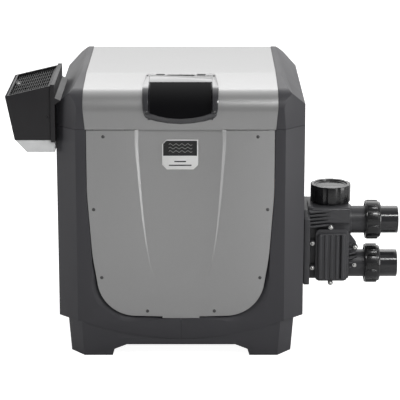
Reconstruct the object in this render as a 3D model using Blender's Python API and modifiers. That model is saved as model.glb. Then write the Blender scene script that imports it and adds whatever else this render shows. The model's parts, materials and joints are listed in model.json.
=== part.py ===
"""Pool and spa heater: a sheet-clad cabinet with a side exhaust vent and a side water header.

Cabinet coordinates: x runs across the front from the cabinet's centre, y runs back from the
front face, z runs up from the floor. The empty named frame_origin carries every piece, and
moves the cabinet so that the whole heater is centred over the world origin.
Units are metres.
"""
import math

import bmesh
import bpy
from mathutils import Matrix, Vector

# --- Driving dimensions ---
CABINET_HALF = 0.320       # half the cabinet's width
CABINET_DEPTH = 0.620
ROOF_Z = 0.717
SEAM_Z = 0.607             # where the lid meets the lower shells
SKIRT_Z = 0.096            # lower edge of the shells
WALL = 0.004               # moulded shell wall
SHEET = 0.0025             # coated metal sheet
GAP = 0.0003               # play between pieces that touch
REVEAL = 0.0015            # visible gap round a panel

CORNER_X, CORNER_Y = 0.052, 0.053        # front corner chamfer of the shells
REAR_CORNER = 0.045

ROOF_HALF = 0.2485         # half width of the metal roof panel
ROOF_FOOT_HALF = 0.2430    # and at the seam, where it is narrower
ROOF_TAPER_Z = 0.665
ROOF_BEND_Y = 0.190        # the roof slopes down to the front from here
ROOF_SLOPE = math.radians(5.0)
ROOF_FRONT_RADIUS = 0.055
ROOF_REAR_RADIUS = 0.060

CAP_SHOULDER_Z = 0.662     # the cap's side leans in above this height
CAP_TOP_HALF = 0.262       # half width between the outer edges of the cap tops
CAP_CUT_LOW, CAP_CUT_HIGH = 0.50, 0.80
CHAMFER_GROWTH = 1.35      # share that the lid ends' front chamfer gains per metre of height

PANEL_TOP_HALF = 0.2400    # front access panel
PANEL_BOTTOM_Z = 0.107

VENT_LEFT = -0.447
VENT_FRONT_Y, VENT_REAR_Y = 0.030, 0.310

HEADER_Y = 0.185           # depth of the water connections behind the front face
UPPER_PORT_Z, LOWER_PORT_Z = 0.3195, 0.198
PIPE_RADIUS = 0.0365       # 2 1/2 in pipe size
BORE_RADIUS = 0.0300
NUT_RADIUS = 0.0525
HEADER_LEFT = 0.339
PORT_END = 0.577

DUCT_Y, DUCT_Z, DUCT_RADIUS = 0.170, 0.6185, 0.040      # flue through the left side
GAS_Y, GAS_Z = 0.530, 0.200                            # gas inlet through the right side

FRONT_REACH = -0.006       # the control bezel is the foremost piece
FRAME_X = -(VENT_LEFT + PORT_END) / 2
FRAME_Y = -(FRONT_REACH + CABINET_DEPTH) / 2

MATERIALS = {
    "charcoal_plastic": ((0.060, 0.058, 0.066), 0.55, 0.0),
    "silver_sheet": ((0.55, 0.55, 0.55), 0.42, 0.6),
    "black_gloss": ((0.010, 0.010, 0.012), 0.08, 0.0),
    "dark_bezel": ((0.035, 0.035, 0.040), 0.22, 0.0),
    "black_sheet": ((0.030, 0.029, 0.031), 0.45, 0.0),
    "bare_steel": ((0.62, 0.62, 0.61), 0.32, 1.0),
    "pipe_plastic": ((0.040, 0.040, 0.044), 0.33, 0.0),
    "black_plastic": ((0.012, 0.012, 0.013), 0.30, 0.0),
    "rubber": ((0.020, 0.020, 0.020), 0.80, 0.0),
    "copper": ((0.72, 0.36, 0.22), 0.35, 1.0),
    "cast_metal": ((0.36, 0.36, 0.37), 0.55, 1.0),
    "label_film": ((0.80, 0.80, 0.80), 0.35, 0.0),
    "circuit_green": ((0.03, 0.16, 0.06), 0.45, 0.0),
    "ceramic": ((0.78, 0.75, 0.68), 0.60, 0.0),
    "display_glass": ((0.10, 0.13, 0.11), 0.10, 0.0),
}


def clear_scene():
    for obj in list(bpy.data.objects):
        bpy.data.objects.remove(obj, do_unlink=True)


def new_collection(name):
    collection = bpy.data.collections.new(name)
    bpy.context.scene.collection.children.link(collection)
    return collection


def make_material(name, colour, roughness, metallic):
    material = bpy.data.materials.new(name)
    material.use_nodes = True
    shader = material.node_tree.nodes["Principled BSDF"]
    shader.inputs["Base Color"].default_value = (*colour, 1.0)
    shader.inputs["Roughness"].default_value = roughness
    shader.inputs["Metallic"].default_value = metallic
    return material


clear_scene()
PARTS = new_collection("pool_heater")
CUTTERS = new_collection("cutters")
FINISH = {name: make_material(name, *values) for name, values in MATERIALS.items()}
ORIGIN = bpy.data.objects.new("frame_origin", None)
ORIGIN.location = (FRAME_X, FRAME_Y, 0.0)
PARTS.objects.link(ORIGIN)

# Each plane carries an outline's two coordinates; the prism's depth runs along the third axis.
PLANES = {
    "XY": Matrix.Identity(4),
    "XZ": Matrix(((1, 0, 0, 0), (0, 0, -1, 0), (0, 1, 0, 0), (0, 0, 0, 1))),
    "YZ": Matrix(((0, 0, 1, 0), (1, 0, 0, 0), (0, 1, 0, 0), (0, 0, 0, 1))),
}
DEPTH_AXIS = {"XY": Vector((0, 0, 1)), "XZ": Vector((0, 1, 0)), "YZ": Vector((1, 0, 0))}


# --- Making pieces ---
def publish(obj, finish):
    """Puts a piece in the heater's collection, with its material, under the frame's origin."""
    PARTS.objects.link(obj)
    obj.parent = ORIGIN
    obj.data.materials.clear()
    obj.data.materials.append(FINISH[finish])
    return obj


def hide_cutter(obj):
    CUTTERS.objects.link(obj)
    obj.parent = ORIGIN
    obj.hide_render = True
    obj.display_type = "WIRE"
    return obj


def mesh_object(name, bm, matrix=None):
    bmesh.ops.recalc_face_normals(bm, faces=bm.faces)
    mesh = bpy.data.meshes.new(name)
    bm.to_mesh(mesh)
    bm.free()
    obj = bpy.data.objects.new(name, mesh)
    obj.matrix_basis = matrix or Matrix.Identity(4)
    return obj


def box(name, low, high):
    """A block between two opposite corners."""
    bm = bmesh.new()
    bmesh.ops.create_cube(bm, size=1.0)
    size = [b - a for a, b in zip(low, high)]
    bmesh.ops.scale(bm, vec=size, verts=bm.verts)
    centre = Vector([(a + b) / 2 for a, b in zip(low, high)])
    return mesh_object(name, bm, Matrix.Translation(centre))


def prism(name, plane, loops, low, high, matrix=None):
    """A flat outline, with holes if it has more loops, given a depth from low to high."""
    curve = bpy.data.curves.new(name, "CURVE")
    curve.dimensions = "2D"
    curve.fill_mode = "BOTH"
    curve.extrude = (high - low) / 2
    for loop in loops:
        spline = curve.splines.new("POLY")
        spline.points.add(len(loop) - 1)
        for point, (a, b) in zip(spline.points, loop):
            point.co = (a, b, 0.0, 1.0)
        spline.use_cyclic_u = True
    guide = bpy.data.objects.new(name + "_outline", curve)
    CUTTERS.objects.link(guide)
    mesh = bpy.data.meshes.new_from_object(guide.evaluated_get(bpy.context.evaluated_depsgraph_get()))
    bm = bmesh.new()
    bm.from_mesh(mesh)
    bmesh.ops.remove_doubles(bm, verts=bm.verts, dist=1e-6)
    bpy.data.objects.remove(guide, do_unlink=True)
    bpy.data.meshes.remove(mesh)
    place = Matrix.Translation(DEPTH_AXIS[plane] * (low + high) / 2) @ PLANES[plane]
    return mesh_object(name, bm, (matrix or Matrix.Identity(4)) @ place)


def cylinder(name, axis, centre, radius, low, high, sides=32):
    """A round bar along X, Y or Z; centre gives the other two coordinates in XYZ order."""
    bm = bmesh.new()
    bmesh.ops.create_cone(bm, cap_ends=True, segments=sides, radius1=radius, radius2=radius, depth=high - low)
    for face in bm.faces:
        face.smooth = len(face.verts) == 4
    for edge in bm.edges:
        edge.smooth = all(face.smooth for face in edge.link_faces)
    middle = (low + high) / 2
    if axis == "X":
        turn, spot = Matrix.Rotation(math.pi / 2, 4, "Y"), Vector((middle, *centre))
    elif axis == "Y":
        turn, spot = Matrix.Rotation(math.pi / 2, 4, "X"), Vector((centre[0], middle, centre[1]))
    else:
        turn, spot = Matrix.Identity(4), Vector((*centre, middle))
    return mesh_object(name, bm, Matrix.Translation(spot) @ turn)


def turned(name, profile, location, axis="Z", steps=32, closed=False):
    """A turned piece: profile gives (radius, height) down the outer side, then back inside."""
    bm = bmesh.new()
    points = [bm.verts.new((radius, 0.0, height)) for radius, height in profile]
    pairs = list(zip(points, points[1:]))
    if closed:
        pairs.append((points[-1], points[0]))
    for pair in pairs:
        bm.edges.new(pair)
    mesh = bpy.data.meshes.new(name)
    bm.to_mesh(mesh)
    bm.free()
    obj = bpy.data.objects.new(name, mesh)
    turn = {
        "Z": Matrix.Identity(4),
        "X": Matrix.Rotation(math.pi / 2, 4, "Y"),
        "Y": Matrix.Rotation(-math.pi / 2, 4, "X"),
    }[axis]
    obj.matrix_basis = Matrix.Translation(location) @ turn
    screw = obj.modifiers.new("turn", "SCREW")
    screw.steps = screw.render_steps = steps
    screw.use_merge_vertices = True
    screw.merge_threshold = 1e-6
    screw.use_smooth_shade = True
    return obj


def wire(name, points, radius, resolution=2):
    """A round wire or pipe along a polyline, as one closed mesh."""
    curve = bpy.data.curves.new(name, "CURVE")
    curve.dimensions = "3D"
    curve.bevel_depth = radius
    curve.bevel_resolution = resolution
    curve.use_fill_caps = True
    spline = curve.splines.new("POLY")
    spline.points.add(len(points) - 1)
    for point, spot in zip(spline.points, points):
        point.co = (*spot, 1.0)
    guide = bpy.data.objects.new(name + "_path", curve)
    CUTTERS.objects.link(guide)
    mesh = bpy.data.meshes.new_from_object(guide.evaluated_get(bpy.context.evaluated_depsgraph_get()))
    bm = bmesh.new()
    bm.from_mesh(mesh)
    bmesh.ops.remove_doubles(bm, verts=bm.verts, dist=1e-6)
    bpy.data.objects.remove(guide, do_unlink=True)
    bpy.data.meshes.remove(mesh)
    return mesh_object(name, bm)


def loft(name, sections):
    """A closed solid through sections that have the same number of points."""
    bm = bmesh.new()
    rings = [[bm.verts.new(point) for point in section] for section in sections]
    count = len(rings[0])
    for lower, upper in zip(rings, rings[1:]):
        for i in range(count):
            j = (i + 1) % count
            bm.faces.new((lower[i], lower[j], upper[j], upper[i]))
    bm.faces.new(rings[0])
    bm.faces.new(rings[-1])
    return mesh_object(name, bm)


def combine(target, others, operation="DIFFERENCE"):
    """Cuts, joins or intersects the target with other shapes, which then only guide it."""
    for other in others:
        hide_cutter(other)
        modifier = target.modifiers.new(operation.lower(), "BOOLEAN")
        modifier.operation = operation
        modifier.solver = "EXACT"
        modifier.object = other
    return target


def mirror_copy(name, source):
    """The finished shape of a piece, reflected in the cabinet's centre plane."""
    bpy.context.view_layer.update()
    mesh = bpy.data.meshes.new_from_object(source.evaluated_get(bpy.context.evaluated_depsgraph_get()))
    bm = bmesh.new()
    bm.from_mesh(mesh)
    bpy.data.meshes.remove(mesh)
    bmesh.ops.transform(bm, matrix=Matrix.Scale(-1, 4, (1, 0, 0)) @ source.matrix_basis, verts=bm.verts)
    return mesh_object(name, bm)


# --- Outlines ---
def arc(centre, radius, start, end, steps):
    """Points on an arc, angles in radians."""
    cx, cy = centre
    angles = [start + (end - start) * i / steps for i in range(steps + 1)]
    return [(cx + radius * math.cos(a), cy + radius * math.sin(a)) for a in angles]


def circle(centre, radius, sides=32):
    return arc(centre, radius, 0.0, 2 * math.pi, sides)[:-1]


def rounded(corners):
    """A closed outline from (x, y, radius, steps) corners, each rounded by its own radius."""
    outline = []
    for i, (x, y, radius, steps) in enumerate(corners):
        if radius == 0:
            outline.append((x, y))
            continue
        here = Vector((x, y))
        before = (Vector(corners[i - 1][:2]) - here).normalized()
        after = (Vector(corners[(i + 1) % len(corners)][:2]) - here).normalized()
        half = before.angle(after) / 2
        centre = here + (before + after).normalized() * (radius / math.sin(half))
        first = here + before * (radius / math.tan(half)) - centre
        last = here + after * (radius / math.tan(half)) - centre
        turn = first.angle_signed(last)
        for k in range(steps + 1):
            spoke = first.copy()
            spoke.rotate(Matrix.Rotation(-turn * k / steps, 2))
            outline.append(tuple(centre + spoke))
    return outline


def inset(outline, distance):
    """The outline moved in by a distance, for an outline that runs anticlockwise."""
    moved = []
    count = len(outline)
    for i in range(count):
        here = Vector(outline[i])
        into = (here - Vector(outline[i - 1])).normalized()
        away = (Vector(outline[(i + 1) % count]) - here).normalized()
        normal_in = Vector((-into.y, into.x))
        normal_out = Vector((-away.y, away.x))
        bisector = (normal_in + normal_out).normalized()
        moved.append(tuple(here + bisector * (distance / bisector.dot(normal_in))))
    return moved


def mirrored(outline):
    """The outline reflected in the cabinet's centre plane, kept anticlockwise."""
    return [(-x, y) for x, y in reversed(outline)]


def cabinet_plan(scale=1.0):
    """The cabinet's outline from above, anticlockwise, its front chamfers scaled."""
    half, front, rear = CABINET_HALF, CABINET_HALF - CORNER_X * scale, CABINET_HALF - REAR_CORNER
    back = CABINET_DEPTH
    right = [(front, 0.0), (half, CORNER_Y * scale), (half, back - REAR_CORNER), (rear, back)]
    return right + mirrored(right)


def panel_outline(grow=0.0):
    """The front access panel: straight at the top, drawn in below, with round lower corners."""
    half = PANEL_TOP_HALF
    right = [
        (half - 0.038, PANEL_BOTTOM_Z + 0.005, 0.100, 12),
        (half - 0.012, 0.272, 0.500, 3),
        (half, 0.440, 0.600, 3),
        (half, SEAM_Z - REVEAL, 0.0, 1),
    ]
    left = [(-x, z, radius, steps) for x, z, radius, steps in reversed(right)]
    return inset(rounded([(0.0, PANEL_BOTTOM_Z, 0.0, 1)] + right + left), -grow)


def apron_edge(drop=0.0):
    """The shells' lower front edge, a shallow arc that dips to the middle, right to left."""
    half_span, rise, middle_z = 0.257, 0.045, 0.048
    radius = (half_span ** 2 + rise ** 2) / (2 * rise)
    sweep = math.asin(half_span / radius)
    centre = (0.0, middle_z + radius - drop)
    return arc(centre, radius, -math.pi / 2 + sweep, -math.pi / 2 - sweep, 16)


def slope_z(y, lift=0.0):
    """Height of the roof's front slope, moved out by lift."""
    return ROOF_Z - (ROOF_BEND_Y - y) * math.tan(ROOF_SLOPE) + lift / math.cos(ROOF_SLOPE)


def roof_front_arc(lift, steps=8):
    """The roof's rolled front edge from the vertical face up to the slope."""
    radius = ROOF_FRONT_RADIUS
    centre = (radius, slope_z(radius) - radius / math.cos(ROOF_SLOPE))
    return arc(centre, radius + lift, math.pi, math.pi / 2 + ROOF_SLOPE, steps)


def roof_section(lift=0.0, foot=SEAM_Z):
    """The lid's side view in Y and Z, moved out by lift."""
    back = CABINET_DEPTH + lift
    rear_centre = (CABINET_DEPTH - ROOF_REAR_RADIUS, ROOF_Z - ROOF_REAR_RADIUS)
    bend = (ROOF_BEND_Y - lift * math.tan(ROOF_SLOPE / 2), ROOF_Z + lift)
    feet = [(-lift, foot), (back, foot)]
    rear = arc(rear_centre, ROOF_REAR_RADIUS + lift, 0.0, math.pi / 2, 6)
    return feet + rear + [bend] + roof_front_arc(lift)[::-1]


def roof_band(inner, outer, low_z, back_y):
    """A thick strip that follows the front of the roof, from low_z up to back_y."""
    outside = [(-outer, low_z)] + roof_front_arc(outer) + [(back_y, slope_z(back_y, outer))]
    inside = [(-inner, low_z)] + roof_front_arc(inner) + [(back_y, slope_z(back_y, inner))]
    return outside + inside[::-1]


# --- Base ---
FOOT_HEIGHT = 0.030
BASE_TOP = SKIRT_Z - GAP


def base_ring(z):
    """The drafted base's outline at a height: it widens by a few millimetres towards its top."""
    share = z / BASE_TOP
    half = 0.2890 + 0.0069 * share
    front, back = 0.004 * (1 - share), CABINET_DEPTH - 0.010 + 0.006 * share
    corner_x, corner_y = 0.0365, 0.0446
    right = [
        (half - corner_x, front), (half, front + corner_y),
        (half, back - corner_y), (half - corner_x, back),
    ]
    return [(x, y, z) for x, y in right + mirrored(right)]


def notch(span):
    """The opening between two feet, seen along it: sloped foot sides and a flat underside."""
    outer, step, top = span, span - 0.005, span - 0.037
    right = [(outer, -0.010), (outer, 0.0), (step, 0.017), (top, FOOT_HEIGHT)]
    return right + mirrored(right)


def make_base_tray():
    tray = loft("base_tray", [base_ring(0.0), base_ring(BASE_TOP)])
    middle_y = CABINET_DEPTH / 2
    side_notch = [(middle_y + a, z) for a, z in notch(0.176)]
    hollow = box("base_hollow", (-0.255, 0.045, FOOT_HEIGHT + 0.006), (0.255, 0.565, 0.12))
    above_arc = apron_edge(drop=GAP) + [(-0.2573, 0.120), (0.2573, 0.120)]
    combine(tray, [
        prism("front_notch", "XZ", [notch(0.179)], -0.05, 0.70),
        prism("side_notch", "YZ", [side_notch], -0.40, 0.40),
        hollow,
        prism("apron_seat", "XZ", [above_arc], -0.02, WALL + GAP),
    ])
    publish(tray, "charcoal_plastic")


def make_floor_pan():
    """The steel deck that stands on the base and carries the works."""
    plan = [(x, y) for x, y in inset(cabinet_plan(), WALL + 0.001)]
    pan = prism("floor_pan", "XY", [plan], SKIRT_Z, SKIRT_Z + SHEET)
    publish(pan, "cast_metal")


# --- Lower shells ---
REAR_EDGE = 0.205


def shell_half():
    """Plan of the right shell's wall, from the front seam round to the rear panel."""
    outer = cabinet_plan()[:4]
    inner = inset(cabinet_plan(), WALL)[:4]
    seam = 0.0004
    front = [(seam, 0.0)] + outer + [(REAR_EDGE, CABINET_DEPTH), (REAR_EDGE, CABINET_DEPTH - WALL)]
    return front + inner[::-1] + [(seam, WALL)]


def duct_hole():
    return cylinder("duct_hole", "X", (DUCT_Y, DUCT_Z), DUCT_RADIUS + 0.0015, -0.33, -0.28, 28)


def make_shell(name, plan, port_side):
    shell = prism(name, "XY", [plan], 0.040, SEAM_Z)
    ends = [(0.257, SKIRT_Z)] + apron_edge() + [(-0.257, SKIRT_Z)]
    below = [(-0.40, 0.0), (0.40, 0.0), (0.40, SKIRT_Z)] + ends + [(-0.40, SKIRT_Z)]
    opening_half = PANEL_TOP_HALF + REVEAL
    cutters = [
        box("skirt_rear", (-0.40, 0.0200, 0.0), (0.40, 0.70, SKIRT_Z)),
        prism("skirt_front", "XZ", [below], -0.02, 0.0205),
        prism("panel_opening", "XZ", [panel_outline(REVEAL)], -0.02, 0.02),
        box("panel_opening_top", (-opening_half, -0.02, 0.55), (opening_half, 0.02, 0.62)),
    ]
    if port_side:
        for z in (UPPER_PORT_Z, LOWER_PORT_Z):
            cutters.append(cylinder("port_hole", "X", (HEADER_Y, z), BORE_RADIUS + 0.002, 0.30, 0.33, 24))
        cutters.append(cylinder("gas_hole", "X", (GAS_Y, GAS_Z), 0.016, 0.30, 0.33, 20))
    else:
        cutters.append(duct_hole())
    publish(combine(shell, cutters), "charcoal_plastic")


LOUVRE_ROWS, LOUVRE_Z, LOUVRE_PITCH = 7, 0.400, 0.022
LOUVRE_HALF, LOUVRE_HEIGHT = 0.120, 0.008


def make_rear_panel():
    """The louvred back, where combustion air comes in."""
    edge = REAR_EDGE - GAP
    inner_y, outer_y = CABINET_DEPTH - WALL, CABINET_DEPTH
    panel = box("rear_panel", (-edge, inner_y, SKIRT_Z + GAP), (edge, outer_y, SEAM_Z - GAP))
    slots = []
    for row in range(LOUVRE_ROWS):
        z = LOUVRE_Z + row * LOUVRE_PITCH
        low, high = (-LOUVRE_HALF, inner_y - 0.01, z), (LOUVRE_HALF, outer_y + 0.01, z + LOUVRE_HEIGHT)
        slots.append(box("louvre", low, high))
    publish(combine(panel, slots), "charcoal_plastic")


# --- Front access panel ---
CREASE_TOP_HALF = 0.118
CREASE_END_Z = 0.215
CREASE_ROWS = 7


def crease(z):
    """Half width, strip width and depth of the panel's sunk middle at a height."""
    share = max(0.0, (z - CREASE_END_Z) / (SEAM_Z - CREASE_END_Z))
    half = CREASE_TOP_HALF * (0.48 + 0.52 * min(1.0, share * 1.15) ** 0.42)
    return half - 0.013 * share, 0.002 + 0.011 * share, 0.008 * share ** 0.8


def make_front_panel():
    bm = bmesh.new()
    creased = [CREASE_END_Z + (SEAM_Z - CREASE_END_Z) * k / CREASE_ROWS for k in range(CREASE_ROWS + 1)]
    rows = [PANEL_BOTTOM_Z - 0.007] + creased + [SEAM_Z + 0.005]
    grid = []
    for z in rows:
        half, strip, depth = crease(z)
        columns = [(half + strip, 0.0), (half, depth)]
        flanks = [(-0.25, 0.0)] + [(-x, d) for x, d in columns]
        row = flanks + [(x, d) for x, d in reversed(columns)] + [(0.25, 0.0)]
        grid.append([bm.verts.new((x, d, z)) for x, d in row])
    for low, high in zip(grid, grid[1:]):
        for i in range(len(low) - 1):
            bm.faces.new((low[i], low[i + 1], high[i + 1], high[i]))
    panel = mesh_object("front_panel", bm)
    solid = panel.modifiers.new("sheet", "SOLIDIFY")
    solid.thickness = SHEET
    solid.offset = -1.0
    solid.use_even_offset = True
    combine(panel, [prism("panel_trim", "XZ", [panel_outline()], -0.03, 0.05)], "INTERSECT")
    holes = [cylinder("screw_hole", "Y", spot, 0.0034, -0.02, 0.03, 12) for spot in panel_screw_spots()]
    publish(combine(panel, holes), "silver_sheet")


def panel_screw_spots():
    right = [(0.197, 0.589), (0.2235, 0.397), (0.205, 0.214), (0.087, 0.123)]
    return [(side * x, z) for x, z in right for side in (-1, 1)]


def make_panel_screws():
    """Pan head screws that hold the panel: head, washer and shank in one turned piece each."""
    profile = [
        (0.0, 0.0022), (0.0030, 0.0018), (0.0044, 0.0009), (0.0044, GAP),
        (0.0029, GAP), (0.0029, -0.0120), (0.0, -0.0140),
    ]
    first = turned("panel_screw_1", profile, (0, 0, 0), steps=12)
    for number, (x, z) in enumerate(panel_screw_spots(), start=1):
        screw = first if number == 1 else first.copy()
        screw.name = f"panel_screw_{number}"
        screw.matrix_basis = Matrix.Translation((x, 0.0, z)) @ Matrix.Rotation(math.pi / 2, 4, "X")
        publish(screw, "bare_steel")


def make_badge():
    """A blank name plate with three clipped corners."""
    left, right, low, high, clip = -0.047, 0.045, 0.502, 0.580, 0.012
    outline = [
        (left + clip, low), (right - clip, low), (right, low + clip), (right, high),
        (left + clip, high), (left, high - clip), (left, low + clip),
    ]
    _, _, depth = crease((low + high) / 2)
    lean = math.atan(0.008 / (SEAM_Z - CREASE_END_Z))
    middle = Vector((0.0, depth, (low + high) / 2))
    turn = Matrix.Translation(middle) @ Matrix.Rotation(-lean, 4, "X") @ Matrix.Translation(-middle)
    badge = prism("front_badge", "XZ", [outline], depth - 0.0022, depth - 0.0010, turn)
    publish(badge, "label_film")


# --- Lid ---
def make_top_panel():
    """The curved metal roof, open below, with the opening for the controls."""
    panel = prism("top_panel", "YZ", [roof_section()], -ROOF_HALF, ROOF_HALF)
    combine(panel, [prism("roof_edges", "XZ", [roof_sides()], -0.05, 0.70)], "INTERSECT")
    reach = ROOF_HALF + 0.02
    hollow = prism("roof_hollow", "YZ", [roof_section(-SHEET, SEAM_Z - 0.02)], -reach, reach)
    combine(panel, [hollow, tilted_block("control_opening", 0.0830, -0.0535, 0.0580, -0.060, 0.060)])
    publish(panel, "silver_sheet")


def roof_sides(grow=0.0):
    """The lid's metal panel seen from the front: it narrows towards the seam."""
    foot, top = ROOF_FOOT_HALF + grow, ROOF_HALF + grow
    right = [(foot, SEAM_Z - 0.05), (foot, SEAM_Z), (top, ROOF_TAPER_Z), (top, 0.80)]
    return right + mirrored(right)


def cap_solid(name, shrink):
    """A lid end: the roof's side view, cut to the cabinet's plan and to the sloping side.

    The front chamfer grows with height, so the lid end's front face narrows upward.
    """
    inner = ROOF_FOOT_HALF
    foot = SEAM_Z + GAP if shrink == 0 else SEAM_Z - 0.03
    body = prism(name, "YZ", [roof_section(0.001 - shrink, foot)], inner, 0.40)
    levels = []
    for z in (CAP_CUT_LOW, CAP_CUT_HIGH):
        outline = cabinet_plan(1.0 + CHAMFER_GROWTH * (z - SEAM_Z))
        plan = inset(outline, shrink) if shrink else outline
        levels.append([(x, y, z) for x, y in plan])
    shoulder = [
        (0.0, 0.50), (CABINET_HALF - shrink, 0.50), (CABINET_HALF - shrink, CAP_SHOULDER_Z - shrink * 0.4),
        (CAP_TOP_HALF - shrink * 0.4, ROOF_Z + 0.001 - shrink), (CAP_TOP_HALF - 0.004, 0.80), (0.0, 0.80),
    ]
    return combine(body, [
        loft(name + "_plan", levels),
        prism(name + "_shoulder", "XZ", [shoulder], -0.10, 0.80),
    ], "INTERSECT")


def make_top_caps():
    roof_space = prism("roof_space", "XZ", [roof_sides(GAP)], -0.10, 0.80)
    right = combine(cap_solid("right_top_cap", 0.0), [cap_solid("cap_hollow", WALL), roof_space])
    publish(right, "charcoal_plastic")
    left = mirror_copy("left_top_cap", right)
    publish(combine(left, [duct_hole()]), "charcoal_plastic")


# --- Controls, in a frame that leans back with the roof's rolled front edge ---
CONTROL_MIDDLE = Vector((0.0, 0.037, 0.6728))
CONTROL_LEAN = math.radians(37.9)
CONTROL = Matrix.Translation(CONTROL_MIDDLE) @ Matrix.Rotation(CONTROL_LEAN, 4, "X")
BEZEL_RISE = 0.006
DOOR_SHEET = 0.003
HINGE_Y = 0.1525
HINGE_Z = slope_z(HINGE_Y) + 0.0035
KNUCKLE_X = 0.053
KNUCKLE_HALF = 0.0105
WINDOW_TOP_Y = 0.083
BUTTON_U = -0.018


def tilted_block(name, half_x, low_u, high_u, low_n, high_n, middle_x=0.0):
    """A block in the controls' frame: u runs up the slope, n points out of it."""
    block = box(name, (middle_x - half_x, low_u, low_n), (middle_x + half_x, high_u, high_n))
    block.matrix_basis = CONTROL @ block.matrix_basis
    return block


def bezel_outline():
    right = [
        (0.032, -0.0595, 0, 1), (0.062, -0.0563, 0, 1), (0.0945, -0.0500, 0.014, 5),
        (0.0975, 0.020, 0.25, 3), (0.0900, 0.1254, 0.012, 5),
    ]
    left = [(-x, u, radius, steps) for x, u, radius, steps in reversed(right)]
    return rounded([(0.0, -0.0608, 0, 1)] + right + left)


def door_outline(grow=0.0):
    right = [
        (0.030, -0.0542, 0, 1), (0.055, -0.0512, 0, 1),
        (0.0808, -0.0458, 0.006, 4), (0.0808, 0.1133, 0.003, 3),
    ]
    left = [(-x, u, radius, steps) for x, u, radius, steps in reversed(right)]
    return inset(rounded([(0.0, -0.0555, 0, 1)] + right + left), -grow)


def bow(start, end, sagitta, steps, shift=0.0):
    """Points on a shallow arc that bulges out of the cabinet, moved in by shift."""
    start, end = Vector(start), Vector(end)
    chord = end - start
    radius = ((chord.length / 2) ** 2 + sagitta ** 2) / (2 * sagitta)
    outward = Vector((chord.y, -chord.x)).normalized()
    centre = (start + end) / 2 - outward * (radius - sagitta)
    first, last = start - centre, end - centre
    begin = math.atan2(first.y, first.x)
    sweep = math.atan2(last.y, last.x) - begin
    return arc(tuple(centre), radius - shift, begin, begin + sweep, steps)


def make_bezel():
    bezel = prism("control_bezel", "YZ", [roof_band(GAP, BEZEL_RISE, 0.60, 0.185)], -0.11, 0.11)
    combine(bezel, [prism("bezel_trim", "XY", [bezel_outline()], -0.09, 0.09, CONTROL)], "INTERSECT")
    cutters = [prism("door_opening", "XY", [door_outline(0.0008)], -0.09, 0.09, CONTROL)]
    for side in (-1, 1):
        x = side * KNUCKLE_X
        slot_half = KNUCKLE_HALF + 0.0008
        cutters.append(box("knuckle_slot", (x - slot_half, 0.138, 0.70), (x + slot_half, 0.1572, 0.73)))
        cutters.append(cylinder("pin_hole", "X", (HINGE_Y, HINGE_Z), 0.0016, x - 0.017, x + 0.017, 12))
    publish(combine(bezel, cutters), "dark_bezel")


def make_door():
    """The flip-up door: a strip that follows the roof, then a bowed dark window."""
    rear_y = 0.1440
    window_top = (WINDOW_TOP_Y, slope_z(WINDOW_TOP_Y, BEZEL_RISE) - 0.0020)
    window_foot = (-0.0045, 0.6340)
    outside = [(rear_y, slope_z(rear_y, BEZEL_RISE)), (WINDOW_TOP_Y, slope_z(WINDOW_TOP_Y, BEZEL_RISE))]
    outside += bow(window_top, window_foot, 0.0082, 8)
    inside = bow(window_top, window_foot, 0.0082, 8, DOOR_SHEET)
    inside = [(rear_y, slope_z(rear_y, BEZEL_RISE - DOOR_SHEET))] + inside
    door = prism("control_door", "YZ", [outside + inside[::-1]], -0.10, 0.10)
    combine(door, [prism("door_trim", "XY", [door_outline()], -0.09, 0.09, CONTROL)], "INTERSECT")
    knuckles, bores = [], []
    for side in (-1, 1):
        low, high = side * KNUCKLE_X - KNUCKLE_HALF, side * KNUCKLE_X + KNUCKLE_HALF
        tongue_foot = slope_z(0.147, 0.0026)
        knuckles.append(box("tongue", (low, 0.1400, tongue_foot), (high, HINGE_Y, tongue_foot + 0.0028)))
        knuckles.append(cylinder("knuckle", "X", (HINGE_Y, HINGE_Z), 0.0029, low, high, 16))
        bores.append(cylinder("knuckle_bore", "X", (HINGE_Y, HINGE_Z), 0.0016, low - 0.01, high + 0.01, 12))
    combine(door, knuckles, "UNION")
    publish(combine(door, bores), "black_gloss")
    for name, side in (("door_hinge_pin_left", -1), ("door_hinge_pin_right", 1)):
        x = side * KNUCKLE_X
        publish(cylinder(name, "X", (HINGE_Y, HINGE_Z), 0.0012, x - 0.0160, x + 0.0160, 12), "bare_steel")


def make_control_panel():
    panel = tilted_block("control_panel", 0.0745, -0.045, 0.050, -0.0130, -0.0070)
    cutters = [tilted_block("display_recess", 0.0303, 0.0047, 0.0373, -0.0088, 0.01)]
    for number, x in enumerate((-0.045, -0.015, 0.015, 0.045), start=1):
        hole = cylinder("button_hole", "Z", (x, BUTTON_U), 0.0054, -0.03, 0.01, 20)
        hole.matrix_basis = CONTROL @ hole.matrix_basis
        cutters.append(hole)
        button = turned(f"control_button_{number}", [
            (0.0, 0.0022), (0.0038, 0.0020), (0.0047, 0.0010), (0.0047, -0.0065), (0.0, -0.0065),
        ], (0, 0, 0), steps=20)
        button.matrix_basis = CONTROL @ Matrix.Translation((x, BUTTON_U, -0.0070))
        publish(button, "rubber")
    publish(combine(panel, cutters), "black_plastic")
    publish(tilted_block("display_lens", 0.0300, 0.0050, 0.0370, -0.0085, -0.0068), "display_glass")
    board = tilted_block("control_board", 0.060, -0.038, 0.040, -0.0250, -0.0234)
    parts = [
        tilted_block("relay", 0.009, 0.010, 0.030, -0.040, -0.0249, 0.035),
        tilted_block("relay", 0.009, 0.010, 0.030, -0.040, -0.0249, 0.010),
        tilted_block("plug_row", 0.030, -0.034, -0.024, -0.034, -0.0249, -0.010),
    ]
    publish(combine(board, parts, "UNION"), "circuit_green")


# --- Exhaust vent ---
VENT_FLANGE_OUT = -0.3315
VENT_WALL = 0.002


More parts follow.
